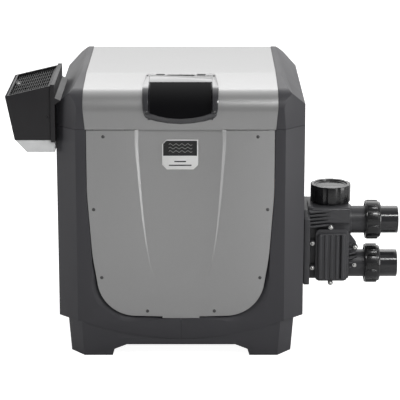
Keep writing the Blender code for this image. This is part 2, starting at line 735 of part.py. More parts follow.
def make_vent():
    front_y, rear_y = VENT_FRONT_Y - 0.004, VENT_REAR_Y + 0.004
    flange = box("vent_flange", (VENT_FLANGE_OUT, front_y, 0.568), (-CABINET_HALF - GAP, rear_y, 0.718))
    wedge = [(-CABINET_HALF - 0.002, 0.6640), (-CABINET_HALF - 0.002, 0.6840), (-0.3050, 0.6770)]
    combine(flange, [prism("flange_wedge", "XZ", [wedge], front_y, rear_y)], "UNION")
    bore = cylinder("flange_bore", "X", (DUCT_Y, DUCT_Z), DUCT_RADIUS + 0.0015, -0.36, -0.30, 28)
    publish(combine(flange, [bore]), "black_sheet")

    right = VENT_FLANGE_OUT - GAP
    top_right, top_left = (right, 0.7145), (VENT_LEFT, 0.687)
    foot_left, foot_right = (-0.4245, 0.573), (right, 0.573)
    hood = prism("vent_hood", "XZ", [[foot_right, top_right, top_left, foot_left]], VENT_FRONT_Y, VENT_REAR_Y)
    lean = (top_left[0] - foot_left[0]) / (top_left[1] - foot_left[1])
    well_left = foot_left[0] + VENT_WALL
    well = [
        (right - VENT_WALL, 0.575), (right - VENT_WALL, 0.750),
        (well_left + lean * 0.177, 0.750), (well_left + lean * 0.002, 0.575),
    ]
    inside_y = (VENT_FRONT_Y + VENT_WALL, VENT_REAR_Y - VENT_WALL)
    hood_bore = cylinder("hood_bore", "X", (DUCT_Y, DUCT_Z), DUCT_RADIUS + 0.0015, -0.36, -0.32, 28)
    publish(combine(hood, [prism("hood_well", "XZ", [well], *inside_y), hood_bore]), "black_sheet")

    rise = (top_right[1] - top_left[1]) / (top_right[0] - top_left[0])
    low_x, high_x = VENT_LEFT + 0.0045, right - VENT_WALL - 0.0006

    def grille_z(x):
        return top_left[1] + (x - top_left[0]) * rise - 0.0075

    sheet = [
        (low_x, grille_z(low_x)), (high_x, grille_z(high_x)),
        (high_x, grille_z(high_x) + 0.0015), (low_x, grille_z(low_x) + 0.0015),
    ]
    grille_y = (inside_y[0] + 0.0006, inside_y[1] - 0.0006)
    grille = prism("vent_grille", "XZ", [sheet], *grille_y)
    slots = []
    for row in range(9):
        x = low_x + 0.0085 + row * 0.0112
        slots.append(box("slot", (x, grille_y[0] + 0.008, 0.65), (x + 0.0065, grille_y[1] - 0.008, 0.75)))
    publish(combine(grille, slots), "black_sheet")

    wall_side = -CABINET_HALF - 0.002
    tray = [
        (right, 0.5727), (-0.4235, 0.5727), (-0.394, 0.541), (wall_side, 0.541),
        (wall_side, 0.5677), (right, 0.5677),
    ]
    back = right - 0.0015
    scoop = [(back, 0.60), (-0.4215, 0.60), (-0.4215, 0.5727), (-0.3933, 0.5425), (back, 0.5425)]
    deflector = prism("vent_deflector", "XZ", [tray], VENT_FRONT_Y + 0.002, VENT_REAR_Y - 0.002)
    scoop_shape = prism("scoop", "XZ", [scoop], VENT_FRONT_Y + 0.0035, VENT_REAR_Y - 0.0035)
    publish(combine(deflector, [scoop_shape]), "bare_steel")


# --- Water header ---
BYPASS_X, BYPASS_Y = 0.398, 0.200
NECK_TOP = 0.402
CAP_RADIUS, CAP_FOOT, CAP_TOP = 0.0535, 0.3690, 0.4150


def castellated(centre, radius, depth, count):
    """A round outline with shallow notches between broad teeth."""
    outline = []
    for i in range(count):
        for share, reach in ((0.0, 0), (0.12, depth), (0.30, depth), (0.42, 0), (0.71, 0)):
            angle = 2 * math.pi * (i + share) / count
            spoke = radius - reach
            outline.append((centre[0] + spoke * math.cos(angle), centre[1] + spoke * math.sin(angle)))
    return outline


def rounded_box_outline(low, high, radius, steps=4):
    corners = [(low[0], low[1]), (high[0], low[1]), (high[0], high[1]), (low[0], high[1])]
    return rounded([(a, b, radius, steps) for a, b in corners])


def make_header_body():
    y, upper, lower = HEADER_Y, UPPER_PORT_Z, LOWER_PORT_Z
    flange = rounded_box_outline((0.095, 0.162), (0.240, 0.374), 0.016)
    body = prism("header_body", "YZ", [flange], CABINET_HALF + 0.0036, HEADER_LEFT)
    upper_block = rounded_box_outline((0.128, 0.322), (0.246, 0.366), 0.009, 3)
    lower_block = rounded_box_outline((0.1400, 0.166), (0.232, 0.340), 0.010, 3)
    joined = [
        prism("upper_block", "YZ", [upper_block], HEADER_LEFT - 0.004, 0.447),
        prism("lower_block", "YZ", [lower_block], HEADER_LEFT - 0.004, 0.446),
        cylinder("upper_pipe", "X", (y, upper), PIPE_RADIUS, 0.42, 0.494, 32),
        cylinder("lower_pipe", "X", (y, lower), PIPE_RADIUS, 0.42, 0.494, 32),
        cylinder("upper_thread", "X", (y, upper), 0.0405, 0.4935, 0.508, 32),
        cylinder("lower_thread", "X", (y, lower), 0.0405, 0.4935, 0.508, 32),
        cylinder("bypass_neck", "Z", (BYPASS_X, BYPASS_Y), 0.0455, 0.345, NECK_TOP, 32),
    ]
    gusset = [(0.336, 0.104), (0.392, 0.132), (0.336, 0.132)]
    side_rib = [(0.443, 0.1405), (0.474, 0.158), (0.443, 0.172)]
    for k in range(4):
        z = 0.3250 + 0.0100 * k
        joined.append(prism("gusset", "XY", [gusset], z, z + 0.0040))
    for k in range(5):
        z = 0.205 + 0.012 * k
        joined.append(prism("side_rib", "XY", [side_rib], z, z + 0.0040))
    combine(body, joined, "UNION")
    bores = [
        cylinder("upper_bore", "X", (y, upper), BORE_RADIUS, 0.30, 0.53, 28),
        cylinder("lower_bore", "X", (y, lower), BORE_RADIUS, 0.30, 0.53, 28),
        cylinder("bypass_bore", "Z", (BYPASS_X, BYPASS_Y), 0.0300, 0.318, 0.42, 28),
    ]
    publish(combine(body, bores), "charcoal_plastic")

    gasket_loop = rounded_box_outline((0.097, 0.164), (0.238, 0.372), 0.014)
    holes = [circle((y, z), BORE_RADIUS + 0.001, 24) for z in (upper, lower)]
    gasket = prism("header_gasket", "YZ", [gasket_loop] + holes, CABINET_HALF + GAP, CABINET_HALF + 0.0033)
    publish(gasket, "rubber")


def make_header_cover():
    plate = rounded_box_outline((0.355, 0.166), (0.442, 0.312), 0.012)
    raised = rounded_box_outline((0.361, 0.172), (0.436, 0.298), 0.010)
    cover = prism("header_cover", "XZ", [plate], 0.1278 - 0.0060, 0.1278 - GAP)
    joined = [prism("cover_face", "XZ", [raised], 0.1160, 0.1230)]
    for k in range(5):
        x = 0.3665 + 0.0148 * k
        joined.append(box("cover_rib", (x, 0.1120, 0.174), (x + 0.0058, 0.1170, 0.296)))
    skirt = rounded_box_outline((0.357, 0.168), (0.440, 0.2745), 0.008)
    joined.append(prism("cover_skirt", "XZ", [skirt], 0.125, 0.1397))
    publish(combine(cover, joined, "UNION"), "charcoal_plastic")


def make_bypass():
    centre = (BYPASS_X, BYPASS_Y)
    cap = prism("bypass_cap", "XY", [castellated(centre, CAP_RADIUS, 0.0022, 10)], CAP_FOOT, CAP_TOP)
    combine(cap, [
        cylinder("cap_bore", "Z", centre, 0.0470, 0.35, NECK_TOP + 0.001, 32),
        cylinder("cap_recess", "Z", centre, 0.0400, CAP_TOP - 0.004, CAP_TOP + 0.01, 32),
    ])
    publish(cap, "black_plastic")

    poppet = turned("bypass_poppet", [
        (0.0, 0.388), (0.0045, 0.388), (0.0055, 0.362), (0.0270, 0.358), (0.0280, 0.354), (0.0, 0.351),
    ], (BYPASS_X, BYPASS_Y, 0.0), steps=24)
    publish(poppet, "pipe_plastic")

    turns, per_turn, foot, top = 4, 8, 0.3610, 0.4005
    coil = []
    for i in range(turns * per_turn + 1):
        angle = 2 * math.pi * i / per_turn
        height = foot + (top - foot) * i / (turns * per_turn)
        coil.append((BYPASS_X + 0.0170 * math.cos(angle), BYPASS_Y + 0.0170 * math.sin(angle), height))
    publish(wire("bypass_spring", coil, 0.0012, 1), "bare_steel")


def make_unions():
    for prefix, z in (("upper", UPPER_PORT_Z), ("lower", LOWER_PORT_Z)):
        centre = (HEADER_Y, z)
        grips = castellated(centre, NUT_RADIUS, 0.0028, 8)
        nut = prism(prefix + "_union_nut", "YZ", [grips, circle(centre, 0.0435, 24)], 0.490, 0.5230)
        lip = prism("nut_lip", "YZ", [circle(centre, 0.0500, 24), circle(centre, 0.0380, 24)], 0.5226, 0.531)
        publish(combine(nut, [lip], "UNION"), "black_plastic")
        tail = turned(prefix + "_tailpiece", [
            (PIPE_RADIUS, PORT_END), (PIPE_RADIUS, 0.5220), (0.0425, 0.5220), (0.0425, 0.5130),
            (0.0305, 0.5130), (0.0305, PORT_END),
        ], (0.0, HEADER_Y, z), axis="X", closed=True)
        publish(tail, "pipe_plastic")
        seal = turned(prefix + "_union_seal", [
            (0.0400, 0.5126), (0.0400, 0.5084), (0.0330, 0.5084), (0.0330, 0.5126),
        ], (0.0, HEADER_Y, z), axis="X", steps=24, closed=True)
        publish(seal, "rubber")


# --- Works inside the cabinet ---
DECK_Z = SKIRT_Z + SHEET + GAP
CHAMBER_TOP = 0.400
CHAMBER_X, CHAMBER_FRONT, CHAMBER_REAR = 0.240, 0.110, 0.480
BURNER_Y, BURNER_Z = 0.290, 0.364
FAN_X = -0.060
FLUE_X = -0.190


def make_combustion():
    near, far = (-CHAMBER_X, CHAMBER_FRONT), (CHAMBER_X, CHAMBER_REAR)
    wall = 0.003
    chamber = box("combustion_chamber", (*near, DECK_Z), (*far, CHAMBER_TOP))
    well_low = (near[0] + wall, near[1] + wall, DECK_Z + wall)
    well = box("chamber_well", well_low, (0.30, far[1] - wall, 0.45))
    publish(combine(chamber, [well]), "cast_metal")

    lid = box("chamber_lid", (*near, CHAMBER_TOP + GAP), (*far, CHAMBER_TOP + 0.004))
    holes = [
        cylinder("burner_hole", "Z", (0.030, BURNER_Y), 0.0225, 0.38, 0.42, 24),
        cylinder("flue_hole", "Z", (FLUE_X, DUCT_Y), 0.0375, 0.38, 0.42, 28),
        cylinder("igniter_hole", "Z", (0.180, 0.350), 0.0062, 0.38, 0.42, 16),
        cylinder("sensor_hole", "Z", (0.180, 0.230), 0.0062, 0.38, 0.42, 16),
    ]
    publish(combine(lid, holes), "cast_metal")

    burner = cylinder("burner", "X", (BURNER_Y, BURNER_Z), 0.0280, -0.150, 0.150, 24)
    neck = cylinder("burner_neck", "Z", (0.030, BURNER_Y), 0.0215, BURNER_Z, 0.4318, 24)
    throat = cylinder("burner_throat", "Z", (0.030, BURNER_Y), 0.0195, BURNER_Z, 0.45, 24)
    combine(burner, [neck], "UNION")
    hollow = cylinder("burner_hollow", "X", (BURNER_Y, BURNER_Z), 0.0262, -0.147, 0.147, 24)
    publish(combine(burner, [throat, hollow]), "cast_metal")

    for name, y in (("igniter", 0.350), ("flame_sensor", 0.230)):
        rod = turned(name, [
            (0.0, 0.444), (0.0045, 0.444), (0.0045, 0.412), (0.0110, 0.412), (0.0110, 0.4045),
            (0.0052, 0.4045), (0.0052, 0.3850), (0.0018, 0.3800), (0.0018, 0.3500), (0.0, 0.3500),
        ], (0.180, y, 0.0), steps=16)
        publish(rod, "ceramic")


def make_heat_exchanger():
    """Finned tubes between a return box and the manifold behind the water ports."""
    exchanger = box("heat_exchanger", (0.2500, 0.130, 0.150), (0.3125, 0.455, 0.3615))
    joined = [box("return_box", (-0.228, 0.130, 0.150), (-0.198, 0.455, 0.3300))]
    bores = []
    for z in (LOWER_PORT_Z, 0.300):
        for k in range(4):
            joined.append(cylinder("tube", "X", (0.175 + 0.080 * k, z), 0.0130, -0.205, 0.256, 10))
    for k in range(3):
        x = -0.110 + 0.120 * k
        joined.append(box("fin", (x, 0.140, 0.165), (x + 0.0012, 0.445, 0.325)))
    for z in (UPPER_PORT_Z, LOWER_PORT_Z):
        bores.append(cylinder("manifold_bore", "X", (HEADER_Y, z), BORE_RADIUS, 0.262, 0.33, 24))
    combine(exchanger, joined, "UNION")
    publish(combine(exchanger, bores), "copper")
    switch = turned("pressure_switch", [
        (0.0, 0.400), (0.0120, 0.400), (0.0160, 0.392), (0.0160, 0.374),
        (0.0060, 0.372), (0.0060, 0.3618), (0.0, 0.3618),
    ], (0.281, 0.300, 0.0), steps=20)
    publish(switch, "black_plastic")


def make_blower():
    low, high = 0.4322, 0.5000
    outline = rounded([
        (-0.140, 0.212, 0.073, 8), (0.066, 0.212, 0.030, 4),
        (0.066, 0.368, 0.030, 4), (-0.140, 0.368, 0.073, 8),
    ])
    housing = prism("blower_housing", "XY", [outline], low, high)
    combine(housing, [
        prism("volute", "XY", [inset(outline, 0.003)], low + 0.003, high - 0.003),
        cylinder("air_inlet", "Z", (FAN_X, BURNER_Y), 0.0330, 0.48, 0.52, 28),
        cylinder("air_outlet", "Z", (0.030, BURNER_Y), 0.0195, 0.42, 0.45, 24),
    ])
    publish(housing, "cast_metal")

    impeller = cylinder("blower_impeller", "Z", (0.0, 0.0), 0.0540, 0.4400, 0.4425, 32)
    impeller.location = Vector((FAN_X, BURNER_Y, impeller.location.z))
    joined = [cylinder("fan_shaft", "Z", (FAN_X, BURNER_Y), 0.0040, 0.4415, 0.5350, 16)]
    for k in range(10):
        turn = Matrix.Translation((FAN_X, BURNER_Y, 0.0)) @ Matrix.Rotation(2 * math.pi * k / 10, 4, "Z")
        blade = box("blade", (0.0360, -0.0008, 0.4420), (0.0530, 0.0008, 0.4850))
        blade.matrix_basis = turn @ blade.matrix_basis
        joined.append(blade)
    publish(combine(impeller, joined, "UNION"), "cast_metal")

    motor = cylinder("blower_motor", "Z", (FAN_X, BURNER_Y), 0.0400, 0.5130, 0.5720, 28)
    legs = []
    for k in range(3):
        turn = Matrix.Translation((FAN_X, BURNER_Y, 0.0)) @ Matrix.Rotation(2 * math.pi * k / 3, 4, "Z")
        leg = box("leg", (0.0350, -0.0060, high + GAP), (0.0480, 0.0060, 0.5400))
        leg.matrix_basis = turn @ leg.matrix_basis
        legs.append(leg)
    combine(motor, legs, "UNION")
    bore = cylinder("motor_bore", "Z", (FAN_X, BURNER_Y), 0.0052, 0.50, 0.5450, 16)
    publish(combine(motor, [bore]), "black_sheet")


def elbow_path(points, radius, steps=5):
    """A pipe run with its corners bent to a radius."""
    path = [Vector(points[0])]
    for before, here, after in zip(points, points[1:], points[2:]):
        here = Vector(here)
        into, away = (Vector(before) - here).normalized(), (Vector(after) - here).normalized()
        start, end = here + into * radius, here + away * radius
        for k in range(steps + 1):
            t = k / steps
            path.append(start * (1 - t) ** 2 + here * 2 * t * (1 - t) + end * t ** 2)
    return path + [Vector(points[-1])]


def make_pipes():
    run = [(-0.345, DUCT_Y, DUCT_Z), (FLUE_X, DUCT_Y, DUCT_Z), (FLUE_X, DUCT_Y, CHAMBER_TOP + 0.0046)]
    bore_run = [(-0.400, DUCT_Y, DUCT_Z), run[1], (FLUE_X, DUCT_Y, 0.35)]
    duct = wire("exhaust_duct", elbow_path(run, 0.060), DUCT_RADIUS, 4)
    combine(duct, [wire("duct_bore", elbow_path(bore_run, 0.060), DUCT_RADIUS - 0.002, 4)])
    publish(duct, "bare_steel")

    supply = [(0.345, GAS_Y, GAS_Z), (0.270, GAS_Y, GAS_Z), (0.270, GAS_Y, 0.4627)]
    publish(wire("gas_pipe", elbow_path(supply, 0.030), 0.0105, 2), "black_sheet")
    valve = box("gas_valve", (0.238, 0.500, 0.4630), (0.300, 0.560, 0.5230))
    details = [
        cylinder("regulator", "Z", (0.269, 0.530), 0.0200, 0.52, 0.5450, 20),
        box("terminal_box", (0.246, 0.4800, 0.475), (0.290, 0.5010, 0.512)),
    ]
    publish(combine(valve, details, "UNION"), "cast_metal")
    feed = [(0.2376, GAS_Y, 0.480), (0.030, GAS_Y, 0.480), (0.030, 0.3684, 0.480)]
    publish(wire("gas_supply_tube", elbow_path(feed, 0.040), 0.0080, 2), "bare_steel")

    core = box("transformer", (0.225, 0.040, DECK_Z), (0.295, 0.095, DECK_Z + 0.058))
    coil = box("winding", (0.240, 0.030, DECK_Z + 0.012), (0.280, 0.105, DECK_Z + 0.046))
    publish(combine(core, [coil], "UNION"), "black_sheet")


make_base_tray()
make_floor_pan()
make_shell("right_shell", shell_half(), True)
make_shell("left_shell", mirrored(shell_half()), False)
make_rear_panel()
make_front_panel()
make_panel_screws()
make_badge()
make_top_panel()
make_top_caps()
make_bezel()
make_door()
make_control_panel()
make_vent()
make_header_body()
make_header_cover()
make_bypass()
make_unions()
make_combustion()
make_heat_exchanger()
make_blower()
make_pipes()
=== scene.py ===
"""Pool and spa heater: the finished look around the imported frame.

Cabinet coordinates, as in the frame: x across the front from the cabinet's centre, y back from
the front face, z up from the floor, in metres. place() moves a finished piece to the frame.
"""

import json
import math

import bmesh
import bpy
from mathutils import Matrix, Vector


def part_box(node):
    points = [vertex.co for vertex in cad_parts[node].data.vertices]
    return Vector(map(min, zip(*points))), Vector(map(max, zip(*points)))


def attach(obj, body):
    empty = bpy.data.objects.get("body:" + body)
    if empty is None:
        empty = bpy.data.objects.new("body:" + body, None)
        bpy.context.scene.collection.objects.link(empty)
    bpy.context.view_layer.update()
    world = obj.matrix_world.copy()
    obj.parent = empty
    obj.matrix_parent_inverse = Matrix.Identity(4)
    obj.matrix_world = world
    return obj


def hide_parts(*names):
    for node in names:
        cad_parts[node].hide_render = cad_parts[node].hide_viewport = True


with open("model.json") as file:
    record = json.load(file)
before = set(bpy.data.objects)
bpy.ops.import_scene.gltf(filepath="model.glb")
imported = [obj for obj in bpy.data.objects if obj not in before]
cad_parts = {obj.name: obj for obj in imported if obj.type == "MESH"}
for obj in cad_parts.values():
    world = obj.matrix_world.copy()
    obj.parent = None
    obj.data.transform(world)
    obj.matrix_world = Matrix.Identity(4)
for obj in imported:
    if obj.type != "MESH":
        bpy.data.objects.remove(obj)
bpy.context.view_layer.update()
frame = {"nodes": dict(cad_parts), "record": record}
NODES = frame["nodes"]
SCENE = bpy.context.scene

# --- Sizes, read from the frame where it holds them ---
LEFT_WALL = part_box("left_shell")[0].x
RIGHT_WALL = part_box("right_shell")[1].x
CENTRE_X = (LEFT_WALL + RIGHT_WALL) / 2
FRONT_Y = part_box("left_shell")[0].y
HALF = (RIGHT_WALL - LEFT_WALL) / 2
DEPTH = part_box("left_shell")[1].y - FRONT_Y
SEAM_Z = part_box("left_shell")[1].z
ROOF_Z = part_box("top_panel")[1].z
ROOF_HALF = (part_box("top_panel")[1].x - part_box("top_panel")[0].x) / 2
SHIFT = Matrix.Translation((CENTRE_X, FRONT_Y, 0.0))

SKIRT_Z = 0.096
WALL = 0.004
GAP = 0.0003
REVEAL = 0.0015
CORNER_X, CORNER_Y, REAR_CORNER = 0.052, 0.053, 0.045
ROOF_BEND_Y, ROOF_SLOPE = 0.19, math.radians(5.0)
ROOF_FRONT_RADIUS, ROOF_REAR_RADIUS = 0.055, 0.06
CAP_SHOULDER_Z, CAP_TOP_HALF = 0.662, 0.262
PANEL_TOP_HALF, PANEL_BOTTOM_Z = 0.24, 0.107
ROOF_FOOT_HALF, ROOF_TAPER_Z = 0.243, 0.665
CHAMFER_GROWTH = 1.35      # share the lid ends' front chamfer gains per metre of height
HEADER_Y, UPPER_PORT_Z, LOWER_PORT_Z = 0.185, 0.3195, 0.198


# --- Camera, floor and light ---
CAMERA_SPOT = Vector((0.0497, -4.6454, 1.6768))       # in cabinet coordinates
CAMERA_PITCH = math.radians(74.89)
CAMERA_LENS, SENSOR_WIDTH, CLIP_END = 168.9, 36.0, 50.0
FLOOR_TONE = 0.6
FLOOR_LIFT = 0.95           # makes the pale floor read as white to the camera alone
SKY_SPAN, SKY_DARK, SKY_LIGHT = (-0.38, 0.6), 0.18, 0.97      # dark ahead of the front, light behind
LIGHTS = (                  # name, place, target, width and height, power
    ("rear_softbox", (0.0, 3.0, 3.0), (0.0, 0.2, 0.6), (4.6, 2.0), 34),
    ("key_right", (2.6, -2.6, 3.0), (0.0, 0.0, 0.35), (1.4, 1.4), 36),
    ("side_right", (3.3, -1.2, 0.7), (0.1, -0.2, 0.35), (1.0, 1.2), 16),
    ("side_left", (-3.3, -1.4, 0.8), (-0.1, -0.2, 0.35), (1.0, 1.2), 15),
    ("pipe_strip", (1.2, -2.5, 3.0), (0.5, 0.1, 0.3), (0.9, 0.4), 22),
)


def linked(data):
    """A new object in the scene, with its data's name."""
    obj = bpy.data.objects.new(data.name, data)
    SCENE.collection.objects.link(obj)
    return obj


def set_inputs(node, values):
    for socket, value in values.items():
        node.inputs[socket].default_value = value


def make_camera():
    data = bpy.data.cameras.new("camera")
    data.lens = CAMERA_LENS
    data.sensor_width = SENSOR_WIDTH
    data.clip_end = CLIP_END
    camera = linked(data)
    camera.location = SHIFT @ CAMERA_SPOT
    camera.rotation_euler = (CAMERA_PITCH, 0.0, 0.0)
    SCENE.camera = camera


def area_light(name, spot, target, size, power):
    data = bpy.data.lights.new(name, "AREA")
    data.shape = "RECTANGLE"
    data.size, data.size_y = size
    data.energy = power
    light = linked(data)
    light.location = spot
    light.rotation_euler = (Vector(target) - Vector(spot)).to_track_quat("-Z", "Y").to_euler()


def make_studio():
    bm = bmesh.new()
    bmesh.ops.create_grid(bm, x_segments=1, y_segments=1, size=12.0)
    mesh = bpy.data.meshes.new("floor")
    bm.to_mesh(mesh)
    bm.free()
    floor = linked(mesh)
    floor.location.z = -0.0005
    white = bpy.data.materials.new("floor_white")
    white.use_nodes = True
    shader = white.node_tree.nodes["Principled BSDF"]
    set_inputs(shader, {
        "Base Color": (FLOOR_TONE, FLOOR_TONE, FLOOR_TONE, 1.0), "Roughness": 0.9,
        "Emission Color": (1.0, 1.0, 1.0, 1.0),
    })
    lift = white.node_tree.nodes.new("ShaderNodeMath")
    lift.operation = "MULTIPLY"
    lift.inputs[1].default_value = FLOOR_LIFT
    seen = white.node_tree.nodes.new("ShaderNodeLightPath")
    white.node_tree.links.new(seen.outputs["Is Camera Ray"], lift.inputs[0])
    white.node_tree.links.new(lift.outputs[0], shader.inputs["Emission Strength"])
    mesh.materials.append(white)

    for light in LIGHTS:
        area_light(*light)

    world = bpy.data.worlds.new("studio")
    world.use_nodes = True
    nodes, links = world.node_tree.nodes, world.node_tree.links
    nodes["Background"].inputs["Strength"].default_value = 1.0
    coordinates = nodes.new("ShaderNodeTexCoord")
    split = nodes.new("ShaderNodeSeparateXYZ")
    links.new(coordinates.outputs["Generated"], split.inputs[0])
    sight = nodes.new("ShaderNodeLightPath")
    pick = nodes.new("ShaderNodeMix")
    pick.data_type = "FLOAT"
    links.new(sight.outputs["Is Camera Ray"], pick.inputs[0])
    ramp = spread(world.node_tree, split.outputs["Y"], SKY_DARK, SKY_LIGHT, pick.inputs[2], SKY_SPAN)
    ramp.interpolation_type = "SMOOTHSTEP"
    pick.inputs[3].default_value = 1.0
    links.new(pick.outputs[0], nodes["Background"].inputs["Color"])
    SCENE.world = world
    SCENE.view_settings.view_transform = "Standard"


# --- Materials ---
def shader_nodes(name):
    material = bpy.data.materials.new(name)
    material.use_nodes = True
    tree = material.node_tree
    coordinates = tree.nodes.new("ShaderNodeTexCoord")
    return material, tree, tree.nodes["Principled BSDF"], coordinates.outputs["Object"]


def noise(tree, vector, scale, detail=3.0, stretch=None):
    if stretch:
        mapping = tree.nodes.new("ShaderNodeMapping")
        mapping.inputs["Scale"].default_value = stretch
        tree.links.new(vector, mapping.inputs["Vector"])
        vector = mapping.outputs["Vector"]
    texture = tree.nodes.new("ShaderNodeTexNoise")
    set_inputs(texture, {"Scale": scale, "Detail": detail})
    tree.links.new(vector, texture.inputs["Vector"])
    return texture.outputs["Fac"]


def spread(tree, value, low, high, socket, span=(0.3, 0.7)):
    """Maps a value's span, a texture's middle range, onto low to high and feeds it to a socket."""
    ramp = tree.nodes.new("ShaderNodeMapRange")
    set_inputs(ramp, {"From Min": span[0], "From Max": span[1], "To Min": low, "To Max": high})
    tree.links.new(value, ramp.inputs["Value"])
    tree.links.new(ramp.outputs["Result"], socket)
    return ramp


def tint(tree, value, dark, light, socket, span=(0.25, 0.75)):
    ramp = tree.nodes.new("ShaderNodeValToRGB")
    first, last = ramp.color_ramp.elements
    first.position, last.position = span
    first.color, last.color = (*dark, 1.0), (*light, 1.0)
    tree.links.new(value, ramp.inputs["Fac"])
    tree.links.new(ramp.outputs["Color"], socket)


def bump(tree, value, shader, strength, distance):
    node = tree.nodes.new("ShaderNodeBump")
    set_inputs(node, {"Strength": strength, "Distance": distance})
    tree.links.new(value, node.inputs["Height"])
    tree.links.new(node.outputs["Normal"], shader.inputs["Normal"])


def shade(colour, amount):
    return tuple(min(1.0, channel * amount) for channel in colour)


def surface(name, colour, roughness, grain=900.0, grain_depth=0.00006, blotch=6.0, vary=0.1,
            metallic=0.0, coat=0.0, stretch=None, rough_vary=0.05, specular=0.5):
    """A finish with fine grain, a broad drift of tone and an uneven gloss."""
    material, tree, shader, vector = shader_nodes(name)
    set_inputs(shader, {
        "Metallic": metallic, "Specular IOR Level": specular, "Coat Weight": coat, "Coat Roughness": 0.12,
    })
    broad = noise(tree, vector, blotch, 4.0)
    fine = noise(tree, vector, grain, 2.0, stretch)
    tint(tree, broad, shade(colour, 1 - vary), shade(colour, 1 + vary), shader.inputs["Base Color"])
    spread(tree, broad, roughness - rough_vary, roughness + rough_vary, shader.inputs["Roughness"])
    bump(tree, fine, shader, 0.5, grain_depth)
    return material


def metallic_paint(name, colour, roughness):
    """Silver paint: flakes that catch the light in tiny cells over a faint orange peel."""
    material, tree, shader, vector = shader_nodes(name)
    set_inputs(shader, {"Metallic": 0.75, "Coat Weight": 0.15, "Coat Roughness": 0.3})
    cells = tree.nodes.new("ShaderNodeTexVoronoi")
    cells.inputs["Scale"].default_value = 1400.0
    tree.links.new(vector, cells.inputs["Vector"])
    tint(tree, cells.outputs["Distance"], shade(colour, 1.06), shade(colour, 0.94),
         shader.inputs["Base Color"], (0.1, 0.8))
    peel = noise(tree, vector, 260.0, 2.0)
    drift = noise(tree, vector, 3.0, 4.0)
    spread(tree, drift, roughness - 0.03, roughness + 0.03, shader.inputs["Roughness"])
    bump(tree, peel, shader, 0.25, 0.00005)
    return material


MATERIALS = {
    "charcoal": surface("charcoal_moulding", (0.058, 0.057, 0.064), 0.44, 1500.0, 0.0001, 4.0, 0.07),
    "header": surface("header_moulding", (0.068, 0.068, 0.073), 0.38, 900.0, 0.00012, 14.0, 0.12),
    "silver": metallic_paint("silver_paint", (0.51, 0.51, 0.51), 0.38),
    "window": surface("window_gloss", (0.004, 0.004, 0.005), 0.1, 700.0, 0.000005, 8.0, 0.1,
                      rough_vary=0.02, specular=0.22),
    "bezel": surface("bezel_gloss", (0.034, 0.034, 0.039), 0.18, 900.0, 0.00002, 8.0, 0.1,
                     coat=1.0, specular=0.9),
    "black_sheet": surface("black_powder_coat", (0.022, 0.021, 0.023), 0.42, 1300.0, 0.0001, 8.0, 0.1),
    "steel": surface("bare_steel", (0.74, 0.74, 0.73), 0.3, 500.0, 0.00002, 20.0, 0.06, metallic=1.0,
                     stretch=(0.08, 1.0, 1.0)),
    "screw": surface("dull_zinc", (0.15, 0.15, 0.15), 0.36, 900.0, 0.00002, 60.0, 0.08, metallic=1.0),
    "zinc": surface("bright_zinc", (0.8, 0.8, 0.78), 0.22, 900.0, 0.00002, 60.0, 0.08, metallic=1.0),
    "galvanised": surface("galvanised_sheet", (0.93, 0.94, 0.94), 0.45, 300.0, 0.00003, 30.0, 0.05,
                          metallic=0.05),
    "pipe": surface("pipe_plastic", (0.026, 0.026, 0.029), 0.2, 500.0, 0.00004, 18.0, 0.12,
                    stretch=(0.15, 1, 1), coat=0.6),
    "black": surface("black_moulding", (0.011, 0.011, 0.012), 0.26, 1100.0, 0.00006, 20.0, 0.15, coat=0.5),
    "rubber": surface("rubber", (0.014, 0.014, 0.014), 0.72, 1400.0, 0.0001, 20.0, 0.12),
    "copper": surface("copper", (0.62, 0.27, 0.15), 0.38, 700.0, 0.00003, 16.0, 0.16, metallic=1.0),
    "casting": surface("casting", (0.42, 0.42, 0.43), 0.52, 420.0, 0.00012, 12.0, 0.1, metallic=0.9),
    "grille": surface("grille_sheet", (0.012, 0.012, 0.013), 0.55, 1300.0, 0.0001, 8.0, 0.1),
    "label": surface("label_white", (0.95, 0.95, 0.94), 0.35, 1500.0, 0.00001, 12.0, 0.02, coat=0.3),
    "label_ink": surface("label_ink", (0.012, 0.012, 0.013), 0.35, 1500.0, 0.00001, 12.0, 0.05, coat=0.3),
    "label_grey": surface("label_grey", (0.3, 0.3, 0.29), 0.35, 1500.0, 0.00001, 12.0, 0.05, coat=0.3),
    "board": surface("circuit_board", (0.02, 0.12, 0.05), 0.4, 600.0, 0.00004, 90.0, 0.25),
    "ceramic": surface("ceramic", (0.76, 0.73, 0.66), 0.55, 900.0, 0.00005, 20.0, 0.06),
    "display": surface("display_lens", (0.07, 0.1, 0.08), 0.08, 900.0, 0.000004, 30.0, 0.1,
                       coat=0.8, rough_vary=0.02),
}

SLOT_LOOKS = {
    "charcoal_plastic": "charcoal", "silver_sheet": "silver", "black_gloss": "window",
    "dark_bezel": "bezel", "black_sheet": "black_sheet", "bare_steel": "steel",
    "pipe_plastic": "pipe", "black_plastic": "black",
    "rubber": "rubber", "copper": "copper", "cast_metal": "casting", "label_film": "label",
    "circuit_green": "board", "ceramic": "ceramic", "display_glass": "display",
}
SLOT_OF = {entry["node"]: entry["material_slot"] for entry in frame["record"]["subparts"]}


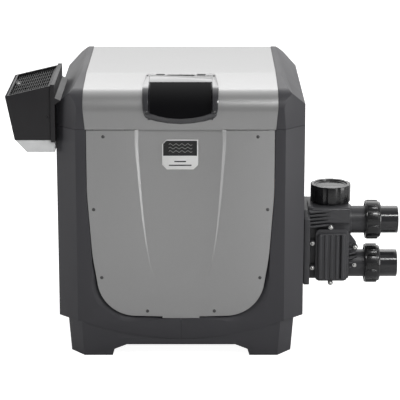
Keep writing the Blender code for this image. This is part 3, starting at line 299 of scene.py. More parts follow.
# --- Building blocks, in cabinet coordinates until place() ---
PLANES = {
    "XY": Matrix.Identity(4),
    "XZ": Matrix(((1, 0, 0, 0), (0, 0, -1, 0), (0, 1, 0, 0), (0, 0, 0, 1))),
    "YZ": Matrix(((0, 0, 1, 0), (1, 0, 0, 0), (0, 1, 0, 0), (0, 0, 0, 1))),
}
DEPTH_AXIS = {"XY": Vector((0, 0, 1)), "XZ": Vector((0, 1, 0)), "YZ": Vector((1, 0, 0))}
TURNS = {                   # from Z to each axis
    "X": Matrix.Rotation(math.pi / 2, 4, "Y"),
    "Y": Matrix.Rotation(-math.pi / 2, 4, "X"),
    "Z": Matrix.Identity(4),
}
MERGE = 1e-6                # points closer than this are one point


def from_bmesh(name, bm, matrix=None):
    """A temporary shape whose place is in its vertices, with its faces pointing out."""
    if matrix:
        bmesh.ops.transform(bm, matrix=matrix, verts=bm.verts)
    bmesh.ops.recalc_face_normals(bm, faces=bm.faces)
    mesh = bpy.data.meshes.new(name)
    bm.to_mesh(mesh)
    bm.free()
    return linked(mesh)


def evaluated_mesh(obj):
    bpy.context.view_layer.update()
    return bpy.data.meshes.new_from_object(obj.evaluated_get(bpy.context.evaluated_depsgraph_get()))


def applied(obj):
    """The object with its modifiers made real."""
    mesh = evaluated_mesh(obj)
    obj.modifiers.clear()
    obj.data = mesh
    return obj


def discard(obj):
    bpy.data.objects.remove(obj, do_unlink=True)


def box(low, high):
    bm = bmesh.new()
    bmesh.ops.create_cube(bm, size=1.0)
    bmesh.ops.scale(bm, vec=[b - a for a, b in zip(low, high)], verts=bm.verts)
    centre = Vector([(a + b) / 2 for a, b in zip(low, high)])
    return from_bmesh("box", bm, Matrix.Translation(centre))


def prism(plane, loops, low, high, matrix=None):
    """A flat outline, with holes if it has more loops, given a depth from low to high."""
    curve = bpy.data.curves.new("outline", "CURVE")
    curve.dimensions = "2D"
    curve.fill_mode = "BOTH"
    curve.extrude = (high - low) / 2
    for loop in loops:
        spline = curve.splines.new("POLY")
        spline.points.add(len(loop) - 1)
        for point, (a, b) in zip(spline.points, loop):
            point.co = (a, b, 0.0, 1.0)
        spline.use_cyclic_u = True
    guide = linked(curve)
    mesh = evaluated_mesh(guide)
    discard(guide)
    bm = bmesh.new()
    bm.from_mesh(mesh)
    bmesh.ops.remove_doubles(bm, verts=bm.verts, dist=MERGE)
    spot = Matrix.Translation(DEPTH_AXIS[plane] * (low + high) / 2) @ PLANES[plane]
    return from_bmesh("prism", bm, (matrix or Matrix.Identity(4)) @ spot)


def cylinder(axis, centre, radius, low, high, sides=48):
    """A round bar along X, Y or Z. Its centre is given by the other two coordinates."""
    bm = bmesh.new()
    bmesh.ops.create_cone(
        bm, cap_ends=True, segments=sides, radius1=radius, radius2=radius, depth=high - low)
    spot = list(centre)
    spot.insert("XYZ".index(axis), (low + high) / 2)
    return from_bmesh("cylinder", bm, Matrix.Translation(spot) @ TURNS[axis])


def turned(profile, location, axis="Z", steps=64, closed=False):
    """A turned shape from (radius, height) points."""
    bm = bmesh.new()
    points = [bm.verts.new((radius, 0.0, height)) for radius, height in profile]
    pairs = list(zip(points, points[1:])) + ([(points[-1], points[0])] if closed else [])
    for pair in pairs:
        bm.edges.new(pair)
    bmesh.ops.spin(bm, geom=bm.verts[:] + bm.edges[:], cent=(0, 0, 0), axis=(0, 0, 1),
                   angle=2 * math.pi, steps=steps)
    bmesh.ops.remove_doubles(bm, verts=bm.verts, dist=MERGE)
    return from_bmesh("turned", bm, Matrix.Translation(location) @ TURNS[axis])


def combine(target, others, operation="DIFFERENCE"):
    """Cuts, joins or intersects the target with other shapes, which are used up."""
    for other in others:
        modifier = target.modifiers.new("combine", "BOOLEAN")
        modifier.operation = operation
        modifier.solver = "EXACT"
        modifier.object = other
    applied(target)
    for other in others:
        discard(other)
    return target


def rounded_edges(obj, width, segments=3, angle=28.0):
    """Merges flat regions, then rounds every edge sharper than the angle."""
    bm = bmesh.new()
    bm.from_mesh(obj.data)
    bmesh.ops.remove_doubles(bm, verts=bm.verts, dist=2 * MERGE)
    bmesh.ops.dissolve_limit(bm, angle_limit=math.radians(0.5), verts=bm.verts, edges=bm.edges)
    bm.to_mesh(obj.data)
    bm.free()
    modifier = obj.modifiers.new("round", "BEVEL")
    modifier.width = width
    modifier.segments = segments
    modifier.limit_method = "ANGLE"
    modifier.angle_limit = math.radians(angle)
    modifier.miter_outer = "MITER_ARC"
    return applied(obj)


def copy_of(obj):
    return linked(obj.data.copy())


def mirror_copy(obj):
    bm = bmesh.new()
    bm.from_mesh(obj.data)
    return from_bmesh("mirrored", bm, Matrix.Scale(-1, 4, (1, 0, 0)))


def paint(obj, look, smooth):
    """Gives a mesh one finish, shaded smooth across edges flatter than the angle."""
    obj.data.materials.clear()
    obj.data.materials.append(MATERIALS[look])
    for polygon in obj.data.polygons:
        polygon.material_index = 0
    obj.data.shade_smooth()
    obj.data.set_sharp_from_angle(angle=math.radians(smooth))


def place(obj, name, look, body="heater", stands_for=(), smooth=35.0):
    """Names a finished piece, moves it to the frame, and gives it its finish and its body."""
    obj.data.transform(SHIFT)
    obj.name = obj.data.name = name
    paint(obj, look, smooth)
    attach(obj, body)
    if stands_for:
        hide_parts(*stands_for)
    return obj


# --- Outlines ---
def arc(centre, radius, start, end, steps):
    cx, cy = centre
    angles = [start + (end - start) * i / steps for i in range(steps + 1)]
    return [(cx + radius * math.cos(a), cy + radius * math.sin(a)) for a in angles]


def rounded(corners):
    """A closed outline from (x, y, radius, steps) corners, each rounded by its own radius."""
    outline = []
    for i, (x, y, radius, steps) in enumerate(corners):
        if radius == 0:
            outline.append((x, y))
            continue
        here = Vector((x, y))
        before = (Vector(corners[i - 1][:2]) - here).normalized()
        after = (Vector(corners[(i + 1) % len(corners)][:2]) - here).normalized()
        half = before.angle(after) / 2
        centre = here + (before + after).normalized() * (radius / math.sin(half))
        first = here + before * (radius / math.tan(half)) - centre
        last = here + after * (radius / math.tan(half)) - centre
        turn = first.angle_signed(last)
        for k in range(steps + 1):
            spoke = first.copy()
            spoke.rotate(Matrix.Rotation(-turn * k / steps, 2))
            outline.append(tuple(centre + spoke))
    return outline


def inset(outline, distance):
    """The outline moved in by a distance, for an outline that runs anticlockwise."""
    moved = []
    for i, point in enumerate(outline):
        here = Vector(point)
        into = (here - Vector(outline[i - 1])).normalized()
        away = (Vector(outline[(i + 1) % len(outline)]) - here).normalized()
        normal_in, normal_out = Vector((-into.y, into.x)), Vector((-away.y, away.x))
        bisector = (normal_in + normal_out).normalized()
        moved.append(tuple(here + bisector * (distance / bisector.dot(normal_in))))
    return moved


def mirrored(outline):
    """The left side of an outline from its right side; corners keep their radii."""
    return [(-x, *rest) for x, *rest in reversed(outline)]


def rounded_box_outline(low, high, radius, steps=6):
    corners = [(low[0], low[1]), (high[0], low[1]), (high[0], high[1]), (low[0], high[1])]
    return rounded([(a, b, radius, steps) for a, b in corners])


def cabinet_plan(scale=1.0):
    """The shells' outline from above, anticlockwise, its front chamfers scaled."""
    front, rear = HALF - CORNER_X * scale, HALF - REAR_CORNER
    right = [(front, 0.0), (HALF, CORNER_Y * scale), (HALF, DEPTH - REAR_CORNER), (rear, DEPTH)]
    return right + mirrored(right)


def panel_outline(grow=0.0):
    """The front access panel: straight at the top, drawn in below, with round lower corners."""
    half = PANEL_TOP_HALF
    right = [
        (half - 0.038, PANEL_BOTTOM_Z + 0.005, 0.1, 28),
        (half - 0.012, 0.272, 0.5, 5),
        (half, 0.44, 0.6, 5),
        (half, SEAM_Z - REVEAL, 0.0, 1),
    ]
    return inset(rounded([(0.0, PANEL_BOTTOM_Z, 0.0, 1)] + right + mirrored(right)), -grow)


def apron_edge(drop=0.0):
    """The shells' lower front edge, a shallow arc that dips to the middle, right to left."""
    half_span, rise, middle_z = 0.257, 0.045, 0.048
    radius = (half_span ** 2 + rise ** 2) / (2 * rise)
    sweep = math.asin(half_span / radius)
    return arc((0.0, middle_z + radius - drop), radius, -math.pi / 2 + sweep, -math.pi / 2 - sweep, 40)


def slope_z(y, lift=0.0):
    return ROOF_Z - (ROOF_BEND_Y - y) * math.tan(ROOF_SLOPE) + lift / math.cos(ROOF_SLOPE)


def roof_front_arc(lift):
    radius = ROOF_FRONT_RADIUS
    centre = (radius, slope_z(radius) - radius / math.cos(ROOF_SLOPE))
    return arc(centre, radius + lift, math.pi, math.pi / 2 + ROOF_SLOPE, 24)


def roof_section(lift=0.0, foot=None):
    """The lid's side view in Y and Z, moved out by lift, with a soft bend at the slope's top."""
    foot = SEAM_Z if foot is None else foot
    back = DEPTH + lift
    rear_centre = (DEPTH - ROOF_REAR_RADIUS, ROOF_Z - ROOF_REAR_RADIUS)
    bend_radius = 0.35
    bend_centre = (ROOF_BEND_Y + bend_radius * math.tan(ROOF_SLOPE / 2), ROOF_Z - bend_radius)
    bend = arc(bend_centre, bend_radius + lift, math.pi / 2, math.pi / 2 + ROOF_SLOPE, 5)
    rear = arc(rear_centre, ROOF_REAR_RADIUS + lift, 0.0, math.pi / 2, 16)
    return [(-lift, foot), (back, foot)] + rear + bend + roof_front_arc(lift)[::-1]


def roof_band(inner, outer, low_z, back_y):
    outside = [(-outer, low_z)] + roof_front_arc(outer) + [(back_y, slope_z(back_y, outer))]
    inside = [(-inner, low_z)] + roof_front_arc(inner) + [(back_y, slope_z(back_y, inner))]
    return outside + inside[::-1]


# --- Lid ---
CONTROL = Matrix.Translation((0.0, 0.037, 0.6728)) @ Matrix.Rotation(math.radians(37.9), 4, "X")
DUCT_Y, DUCT_Z, DUCT_RADIUS, DUCT_CLEARANCE = 0.17, 0.6185, 0.04, 0.0015
SHEET = 0.0025
CAP_OVERLAP = 0.001         # how far the lid ends stand out from the roof


def roof_sides(grow=0.0):
    """The lid's metal panel seen from the front: it narrows towards the seam."""
    foot, top = ROOF_FOOT_HALF + grow, ROOF_HALF + grow
    right = [(foot, SEAM_Z - 0.05), (foot, SEAM_Z), (top, ROOF_TAPER_Z), (top, 0.8)]
    return right + mirrored(right)


def make_roof():
    """The rolled metal roof, open below and behind the controls."""
    roof = prism("YZ", [roof_section()], -ROOF_HALF, ROOF_HALF)
    inside = roof_section(-SHEET, SEAM_Z - 0.02)
    hollow = prism("YZ", [inside], -ROOF_HALF - 0.02, ROOF_HALF + 0.02)
    opening = box((-0.083, -0.0535, -0.06), (0.083, 0.058, 0.06))
    opening.data.transform(CONTROL)
    combine(roof, [prism("XZ", [roof_sides()], -0.05, 0.7)], "INTERSECT")
    combine(roof, [hollow, opening])
    roof = rounded_edges(roof, 0.0006, 2, 40.0)
    place(roof, "roof", "silver", stands_for=["top_panel"], smooth=20.0)


def cap_solid(shrink):
    """A lid end: the roof's side view, cut to the cabinet's plan and to the sloping side."""
    foot = SEAM_Z + GAP if shrink == 0 else SEAM_Z - 0.03
    body = prism("YZ", [roof_section(CAP_OVERLAP - shrink, foot)], ROOF_FOOT_HALF, 0.4)
    levels = []
    for z in (0.5, 0.8):
        outline = cabinet_plan(1.0 + CHAMFER_GROWTH * (z - SEAM_Z))
        plan = inset(outline, shrink) if shrink else outline
        levels.append([(x, y, z) for x, y in plan])
    side, top = HALF - shrink, CAP_TOP_HALF - shrink * 0.4
    shoulder = [
        (0.0, 0.5), (side, 0.5), (side, CAP_SHOULDER_Z - shrink * 0.4),
        (top, ROOF_Z + CAP_OVERLAP - shrink),
        (CAP_TOP_HALF - 0.004, 0.8), (0.0, 0.8),
    ]
    return combine(body, [loft(levels), prism("XZ", [shoulder], -0.1, 0.8)], "INTERSECT")


def duct_hole(low, high):
    return cylinder("X", (DUCT_Y, DUCT_Z), DUCT_RADIUS + DUCT_CLEARANCE, low, high)


def make_caps():
    outside = rounded_edges(cap_solid(0.0), 0.0045, 4, 14.0)
    right = combine(outside, [cap_solid(WALL), prism("XZ", [roof_sides(GAP)], -0.1, 0.8)])
    left = combine(mirror_copy(right), [duct_hole(-0.33, -0.28)])
    place(right, "right_lid_end", "charcoal", stands_for=["right_top_cap"], smooth=30.0)
    place(left, "left_lid_end", "charcoal", stands_for=["left_top_cap"], smooth=30.0)


# --- Lower shells and base ---
REAR_EDGE = 0.205
SHELL_SEAM = 0.0004         # half the gap between the shells
LIP_DEPTH = 0.0085
LIP_WIDTH = 0.0165
TAB_HALF, TAB_LOW, TAB_HIGH = 0.048, 0.1036, 0.1075


def lip_outline(share, grow=REVEAL):
    """The panel opening, widened at its lower corners by a share of the lip's width."""
    even = panel_outline(grow)
    wide = panel_outline(grow + LIP_WIDTH)
    outline = []
    for (x, z), (far_x, far_z) in zip(even, wide):
        across = min(1.0, max(0.0, abs(x) / 0.15)) ** 1.5
        down = min(1.0, max(0.0, (0.3 - z) / 0.15))
        weight = share * across * down * down * (3 - 2 * down)
        outline.append((x + (far_x - x) * weight, z + (far_z - z) * weight))
    return outline


def loft(sections):
    """A closed solid through sections that have the same number of points."""
    bm = bmesh.new()
    rings = [[bm.verts.new(point) for point in section] for section in sections]
    count = len(rings[0])
    for lower, upper in zip(rings, rings[1:]):
        for i in range(count):
            j = (i + 1) % count
            bm.faces.new((lower[i], lower[j], upper[j], upper[i]))
    bm.faces.new(rings[0])
    bm.faces.new(rings[-1])
    return from_bmesh("loft", bm)


def lip_cutter():
    """Cuts the panel opening with its sloped crescents at the lower corners."""
    levels = [(-0.0015, 1.3), (LIP_DEPTH, 0.0), (0.03, 0.0)]
    return loft([[(x, y, z) for x, z in lip_outline(share)] for y, share in levels])


def shell_half():
    outer = [point for point in cabinet_plan() if point[0] > 0]
    inner = [point for point in inset(cabinet_plan(), WALL) if point[0] > 0]
    rear = [(REAR_EDGE, DEPTH), (REAR_EDGE, DEPTH - WALL)]
    return [(SHELL_SEAM, 0.0)] + outer + rear + inner[::-1] + [(SHELL_SEAM, WALL)]


def port_bars(radius, low, high, sides=64):
    """A round bar on the axis of each water connection."""
    return [cylinder("X", (HEADER_Y, z), radius, low, high, sides) for z in (UPPER_PORT_Z, LOWER_PORT_Z)]


def make_shell(name, plan, port_side):
    shell = prism("XY", [plan], 0.04, SEAM_Z)
    side = 1 if port_side else -1
    frame_loops = [panel_outline(LIP_WIDTH + 0.006), panel_outline(REVEAL)]
    backing = prism("XZ", frame_loops, 0.003, 0.012)
    low_x, high_x = sorted((side * SHELL_SEAM, side * 0.3))
    half = box((low_x, -0.01, 0.06), (high_x, 0.05, 0.45))
    combine(shell, [combine(backing, [half], "INTERSECT")], "UNION")
    ends = [(0.257, SKIRT_Z)] + apron_edge() + [(-0.257, SKIRT_Z)]
    below = [(-0.4, 0.0), (0.4, 0.0), (0.4, SKIRT_Z)] + ends + [(-0.4, SKIRT_Z)]
    cutters = [
        box((-0.4, 0.02, 0.0), (0.4, 0.7, SKIRT_Z)),
        prism("XZ", [below], -0.02, 0.0205),
        lip_cutter(),
        box((-PANEL_TOP_HALF - REVEAL, -0.02, 0.55), (PANEL_TOP_HALF + REVEAL, 0.02, 0.62)),
        box((-TAB_HALF - 0.001, -0.02, TAB_LOW - 0.001),
            (TAB_HALF + 0.001, 0.0035, TAB_HIGH + 0.004)),
    ]
    if port_side:
        cutters += port_bars(0.032, 0.3, 0.33, 48)
        cutters.append(cylinder("X", (0.53, 0.2), 0.016, 0.3, 0.33))
    else:
        cutters.append(duct_hole(-0.33, -0.28))
    combine(shell, cutters)
    shell = rounded_edges(shell, 0.0016, 3, 25.0)
    place(shell, name, "charcoal", stands_for=[name.replace("_side", "_shell")])


def make_base():
    """The drafted plinth with its four feet, hollow below the deck."""
    top, foot = SKIRT_Z - GAP, 0.03

    def ring(z):
        share = z / top
        half = 0.289 + 0.0069 * share
        front, back = 0.004 * (1 - share), DEPTH - 0.01 + 0.006 * share
        corner_x, corner_y = 0.0365, 0.0446
        right = [(half - corner_x, front), (half, front + corner_y),
                 (half, back - corner_y), (half - corner_x, back)]
        return [(x, y, z) for x, y in right + mirrored(right)]

    def notch(span):
        right = [(span, -0.01), (span, 0.0), (span - 0.005, 0.017), (span - 0.037, foot)]
        return right + mirrored(right)

    tray = loft([ring(0.0), ring(top)])
    side_notch = [(DEPTH / 2 + a, z) for a, z in notch(0.176)]
    above_arc = apron_edge(drop=GAP) + [(-0.2573, 0.12), (0.2573, 0.12)]
    combine(tray, [
        prism("XZ", [notch(0.179)], -0.05, 0.7),
        prism("YZ", [side_notch], -0.4, 0.4),
        box((-0.255, 0.045, foot + 0.006), (0.255, 0.565, 0.12)),
        prism("XZ", [above_arc], -0.02, WALL + GAP),
    ])
    tray = rounded_edges(tray, 0.0022, 3, 25.0)
    place(tray, "plinth", "charcoal", stands_for=["base_tray"])


# --- Front access panel ---
CREASE_TOP_HALF, CREASE_TOP_Z, CREASE_END_Z = 0.118, 0.607, 0.205
CREASE_DEPTH = 0.0085


def crease(z):
    """Half width, strip width and depth of the panel's sunk middle at a height."""
    share = max(0.0, (z - CREASE_END_Z) / (CREASE_TOP_Z - CREASE_END_Z))
    half = CREASE_TOP_HALF * (0.46 + 0.54 * min(1.0, share * 1.1) ** 0.46)
    return half - 0.013 * share, 0.003 + 0.01 * share, CREASE_DEPTH * share ** 0.85


def make_panel():
    rows, steps = 48, 9
    low, high = 0.095, 0.612
    grid, bm = [], bmesh.new()
    for row in range(rows + 1):
        z = low + (high - low) * row / rows
        half, strip, depth = crease(z)
        flank = [(-0.25, 0.0), (-0.16, 0.0)]
        for k in range(steps + 1):
            t = k / steps
            flank.append((-(half + strip * (1 - t)), depth * t * t * (3 - 2 * t)))
        line = flank + [(-x, d) for x, d in reversed(flank)]
        grid.append([bm.verts.new((x, d, z)) for x, d in line])
    for below, above in zip(grid, grid[1:]):
        for i in range(len(below) - 1):
            bm.faces.new((below[i], below[i + 1], above[i + 1], above[i]))
    panel = from_bmesh("panel", bm)
    solid = panel.modifiers.new("sheet", "SOLIDIFY")
    solid.thickness = SHEET
    solid.use_even_offset = True
    toward_back = sum(polygon.normal.y for polygon in panel.data.polygons) > 0
    solid.offset = 1.0 if toward_back else -1.0
    applied(panel)
    outline = prism("XZ", [panel_outline()], -0.03, 0.05)
    tab = box((-TAB_HALF, -0.0002, TAB_LOW), (TAB_HALF, SHEET, TAB_HIGH + 0.006))
    combine(panel, [outline], "INTERSECT")
    combine(panel, [tab], "UNION")
    rounded_panel = panel.modifiers.new("round", "BEVEL")
    rounded_panel.width, rounded_panel.segments = 0.0009, 3
    rounded_panel.angle_limit = math.radians(50.0)
    applied(panel)
    place(panel, "access_panel", "silver", stands_for=["front_panel"], smooth=42.0)


def screw(spot, direction, radius=0.0044, height=0.0022, washer=0.0):
    """A pan head with a cross recess, standing on spot and facing direction."""
    head = turned([
        (0.0, height), (radius * 0.45, height * 0.94), (radius * 0.8, height * 0.66),
        (radius, height * 0.22), (radius, 0.0), (0.0, 0.0),
    ], (0, 0, 0), steps=32)
    if washer:
        combine(head, [cylinder("Z", (0, 0), radius + washer, -0.0002, 0.0006, 32)], "UNION")
    arm, width = radius * 0.6, radius * 0.16
    cross = combine(
        box((-arm, -width, height * 0.45), (arm, width, height * 2)),
        [box((-width, -arm, height * 0.45), (width, arm, height * 2))], "UNION")
    combine(head, [cross])
    head.data.transform(Vector(direction).to_track_quat("Z", "Y").to_matrix().to_4x4())
    head.data.transform(Matrix.Translation(spot))
    return head


def join(objects):
    """One object from several that don't touch or may simply overlap."""
    first = objects[0]
    bm = bmesh.new()
    for obj in objects:
        bm.from_mesh(obj.data)
    bm.to_mesh(first.data)
    bm.free()
    for obj in objects[1:]:
        discard(obj)
    return first


def make_panel_screws():
    right = [(0.197, 0.589), (0.2235, 0.397), (0.205, 0.214), (0.087, 0.123)]
    spots = [(side * x, z) for x, z in right for side in (-1, 1)]
    for number, (x, z) in enumerate(spots, start=1):
        place(screw((x, 0.0, z), (0, -1, 0)), f"front_screw_{number}", "screw",
              stands_for=[f"panel_screw_{number}"])


def clipped(low, high, clip):
    """A rectangle with clipped corners, except the top right one."""
    (left, foot), (right, top) = low, high
    return [(left + clip, foot), (right - clip, foot), (right, foot + clip), (right, top),
            (left + clip, top), (left, top - clip), (left, foot + clip)]


def make_badge():
    """A blank name plate: white, with a black field that carries three waves."""
    middle = Vector((0.0, crease(0.541)[2], 0.541))
    lean = math.atan(CREASE_DEPTH / (CREASE_TOP_Z - CREASE_END_Z))
    turn = Matrix.Rotation(-lean, 4, "X")
    turn = Matrix.Translation(middle) @ turn @ Matrix.Translation(-middle)
    face = middle.y - 0.0022
    left, right, low, high, split = -0.047, 0.045, 0.502, 0.58, 0.538
    plate = prism("XZ", [clipped((left, low), (right, high), 0.012)], face, face + 0.0012, turn)
    place(rounded_edges(plate, 0.0003, 2), "name_plate", "label", stands_for=["front_badge"])
    rim = 0.0028
    field = [(left + rim, split), (right - rim, split), (right - rim, high - rim),
             (left + 0.011, high - rim), (left + rim, high - 0.011)]
    place(prism("XZ", [field], face - 0.0002, face + 0.0002, turn), "plate_field", "label_ink")
    for number, height in enumerate((0.55, 0.559, 0.568), start=1):
        crest = [(-0.03 + 0.06 * k / 40, height + 0.0022 * math.sin(k * math.pi / 5)) for k in range(41)]
        band = crest + [(x, z - 0.0016) for x, z in reversed(crest)]
        wave = prism("XZ", [band], face - 0.0004, face - 0.0001, turn)
        place(wave, f"plate_wave_{number}", "label_grey")
    for number, (reach, z) in enumerate(((0.016, 0.5215), (0.03, 0.5115)), start=1):
        bar = rounded_box_outline((-reach, z), (reach - 0.002, z + 0.003), 0.0008, 3)
        rule = prism("XZ", [bar], face - 0.0002, face + 0.0002, turn)
        place(rule, f"plate_rule_{number}", "label_ink")


make_roof()
make_caps()
make_shell("right_side", shell_half(), True)
make_shell("left_side", mirrored(shell_half()), False)
make_base()
make_panel()
make_panel_screws()
make_badge()


# --- Controls ---
BEZEL_RISE, DOOR_SHEET = 0.006, 0.003
HINGE_Y = 0.1525
HINGE_Z = slope_z(HINGE_Y) + 0.0035
KNUCKLE_X, KNUCKLE_HALF, HINGE_BORE = 0.053, 0.0105, 0.0016
WINDOW_TOP_Y, WINDOW_BOW = 0.083, 0.0082
RAIL_X, RAIL_SCREW_Y, RAIL_SCREW_Z = 0.086, -0.0046, 0.653


def bezel_outline():
    right = [
        (0.032, -0.0595, 0, 1), (0.062, -0.0563, 0, 1), (0.0945, -0.05, 0.014, 8),
        (0.0975, 0.02, 0.25, 6), (0.09, 0.1254, 0.012, 8),
    ]
    return rounded([(0.0, -0.0608, 0, 1)] + right + mirrored(right))


def door_outline(grow=0.0):
    right = [
        (0.03, -0.0542, 0, 1), (0.055, -0.0512, 0, 1),
        (0.0808, -0.0458, 0.006, 6), (0.0808, 0.1133, 0.003, 4),
    ]
    return inset(rounded([(0.0, -0.0555, 0, 1)] + right + mirrored(right)), -grow)


def window_arc(shift=0.0):
    """The window's side view, top to foot: a shallow arc that bulges out, moved in by shift."""
    start = Vector((WINDOW_TOP_Y, slope_z(WINDOW_TOP_Y, BEZEL_RISE) - 0.002))
    end = Vector((-0.0045, 0.634))
    chord = end - start
    radius = ((chord.length / 2) ** 2 + WINDOW_BOW ** 2) / (2 * WINDOW_BOW)
    outward = Vector((chord.y, -chord.x)).normalized()
    centre = (start + end) / 2 - outward * (radius - WINDOW_BOW)
    first, last = start - centre, end - centre
    begin = math.atan2(first.y, first.x)
    sweep = math.atan2(last.y, last.x) - begin
    return arc(tuple(centre), radius - shift, begin, begin + sweep, 28)


def make_bezel():
    bezel = prism("YZ", [roof_band(GAP, BEZEL_RISE, 0.6, 0.185)], -0.11, 0.11)
    combine(bezel, [prism("XY", [bezel_outline()], -0.09, 0.09, CONTROL)], "INTERSECT")
    cutters = [prism("XY", [door_outline(0.0008)], -0.09, 0.09, CONTROL)]
    for side in (-1, 1):
        x, slot_half = side * KNUCKLE_X, KNUCKLE_HALF + 0.0008
        cutters.append(box((x - slot_half, 0.138, 0.7), (x + slot_half, 0.1572, 0.73)))
        cutters.append(cylinder("X", (HINGE_Y, HINGE_Z), HINGE_BORE, x - 0.017, x + 0.017, 16))
        cutters.append(cylinder("Y", (side * RAIL_X, RAIL_SCREW_Z), 0.0038, -0.01, RAIL_SCREW_Y))
    combine(bezel, cutters)
    bezel = rounded_edges(bezel, 0.0013, 3, 40.0)
    place(bezel, "bezel_frame", "bezel", stands_for=["control_bezel"], smooth=38.0)

    strip_y = 0.15
    strip_z = slope_z(strip_y)
    outline = rounded_box_outline((0.1465, strip_z + 0.005), (0.16, strip_z + 0.0064), 0.0006)
    strip = prism("YZ", [outline], -0.0355, 0.0355)
    place(rounded_edges(strip, 0.0006, 2, 50.0), "rear_strip", "bezel")
    slope_up = (0.0, -math.sin(ROOF_SLOPE), math.cos(ROOF_SLOPE))
    head = screw((0.0, strip_y, strip_z + 0.0058), slope_up, 0.0026, 0.0009)
    place(head, "rear_strip_screw", "black_sheet")
    for side, word in ((-1, "left"), (1, "right")):
        rear = (side * RAIL_X, 0.14, slope_z(0.14, BEZEL_RISE) - 0.0002)
        place(screw(rear, slope_up, 0.003, 0.0014), f"rail_screw_rear_{word}", "black_sheet")
        front = (side * RAIL_X, RAIL_SCREW_Y, RAIL_SCREW_Z)
        place(screw(front, (0, -1, 0), 0.003, 0.0013), f"rail_screw_front_{word}", "screw")


def make_door():
    """The flip-up door: a strip that follows the roof, then a bowed dark window."""
    rear_y = 0.144
    front_edge = (WINDOW_TOP_Y, slope_z(WINDOW_TOP_Y, BEZEL_RISE))
    trim = prism("XY", [door_outline()], -0.09, 0.09, CONTROL)

    outside = [(rear_y, slope_z(rear_y, BEZEL_RISE)), front_edge] + window_arc()
    inside = [(rear_y, slope_z(rear_y, BEZEL_RISE - DOOR_SHEET))] + window_arc(DOOR_SHEET)
    door = prism("YZ", [outside + inside[::-1]], -0.1, 0.1)
    combine(door, [copy_of(trim)], "INTERSECT")
    knuckles, bores = [], []
    for side in (-1, 1):
        low, high = side * KNUCKLE_X - KNUCKLE_HALF, side * KNUCKLE_X + KNUCKLE_HALF
        tongue = slope_z(0.147, 0.0026)
        knuckles.append(box((low, 0.14, tongue), (high, HINGE_Y, tongue + 0.0028)))
        knuckles.append(cylinder("X", (HINGE_Y, HINGE_Z), 0.0029, low, high, 28))
        bores.append(cylinder("X", (HINGE_Y, HINGE_Z), HINGE_BORE, low - 0.01, high + 0.01, 20))
    combine(door, knuckles, "UNION")
    combine(door, bores)
    door = rounded_edges(door, 0.0007, 2, 40.0)
    place(door, "door_frame", "bezel", "door", ["control_door"], smooth=38.0)

    glass = prism("YZ", [window_arc(-0.0003) + window_arc(0.0006)[::-1]], -0.0782, 0.0782)
    combine(glass, [trim], "INTERSECT")
    place(glass, "door_window", "window", "door", smooth=30.0)
    for name in ("door_hinge_pin_left", "door_hinge_pin_right"):
        soften(name, 0.0003)


def soften(name, width, angle=30.0):
    """The frame's own shape of a node, with its flat regions merged and its edges rounded."""
    node = NODES[name]
    shape = copy_of(node)
    shape.data.transform(SHIFT.inverted())
    slot, body = SLOT_OF[name], BODY_OF.get(name, "heater")
    shape = rounded_edges(shape, width, 2, angle)
    place(shape, name + "_finished", SLOT_LOOKS[slot], body, [name])


BODIES = frame["record"]["behaviour"]["bodies"]
BODY_OF = {node: body for body, nodes in BODIES.items() for node in nodes}


def make_controls():
    soften("control_panel", 0.0008)
    soften("display_lens", 0.0003)
    soften("control_board", 0.0003)
    for number in range(1, 5):
        soften(f"control_button_{number}", 0.0003, angle=50.0)


# --- Exhaust vent ---
VENT_LEFT = -0.447
VENT_FRONT_Y, VENT_REAR_Y = 0.03, 0.31
FLANGE_OUT = -0.3315
VENT_WALL = 0.002
HOOD_FOOT_Z, HOOD_TOP_Z, HOOD_LIP_Z = 0.573, 0.7145, 0.687
TRAY_TOP_Z, TRAY_REST_Z, TRAY_FOOT_Z = 0.5727, 0.5677, 0.541


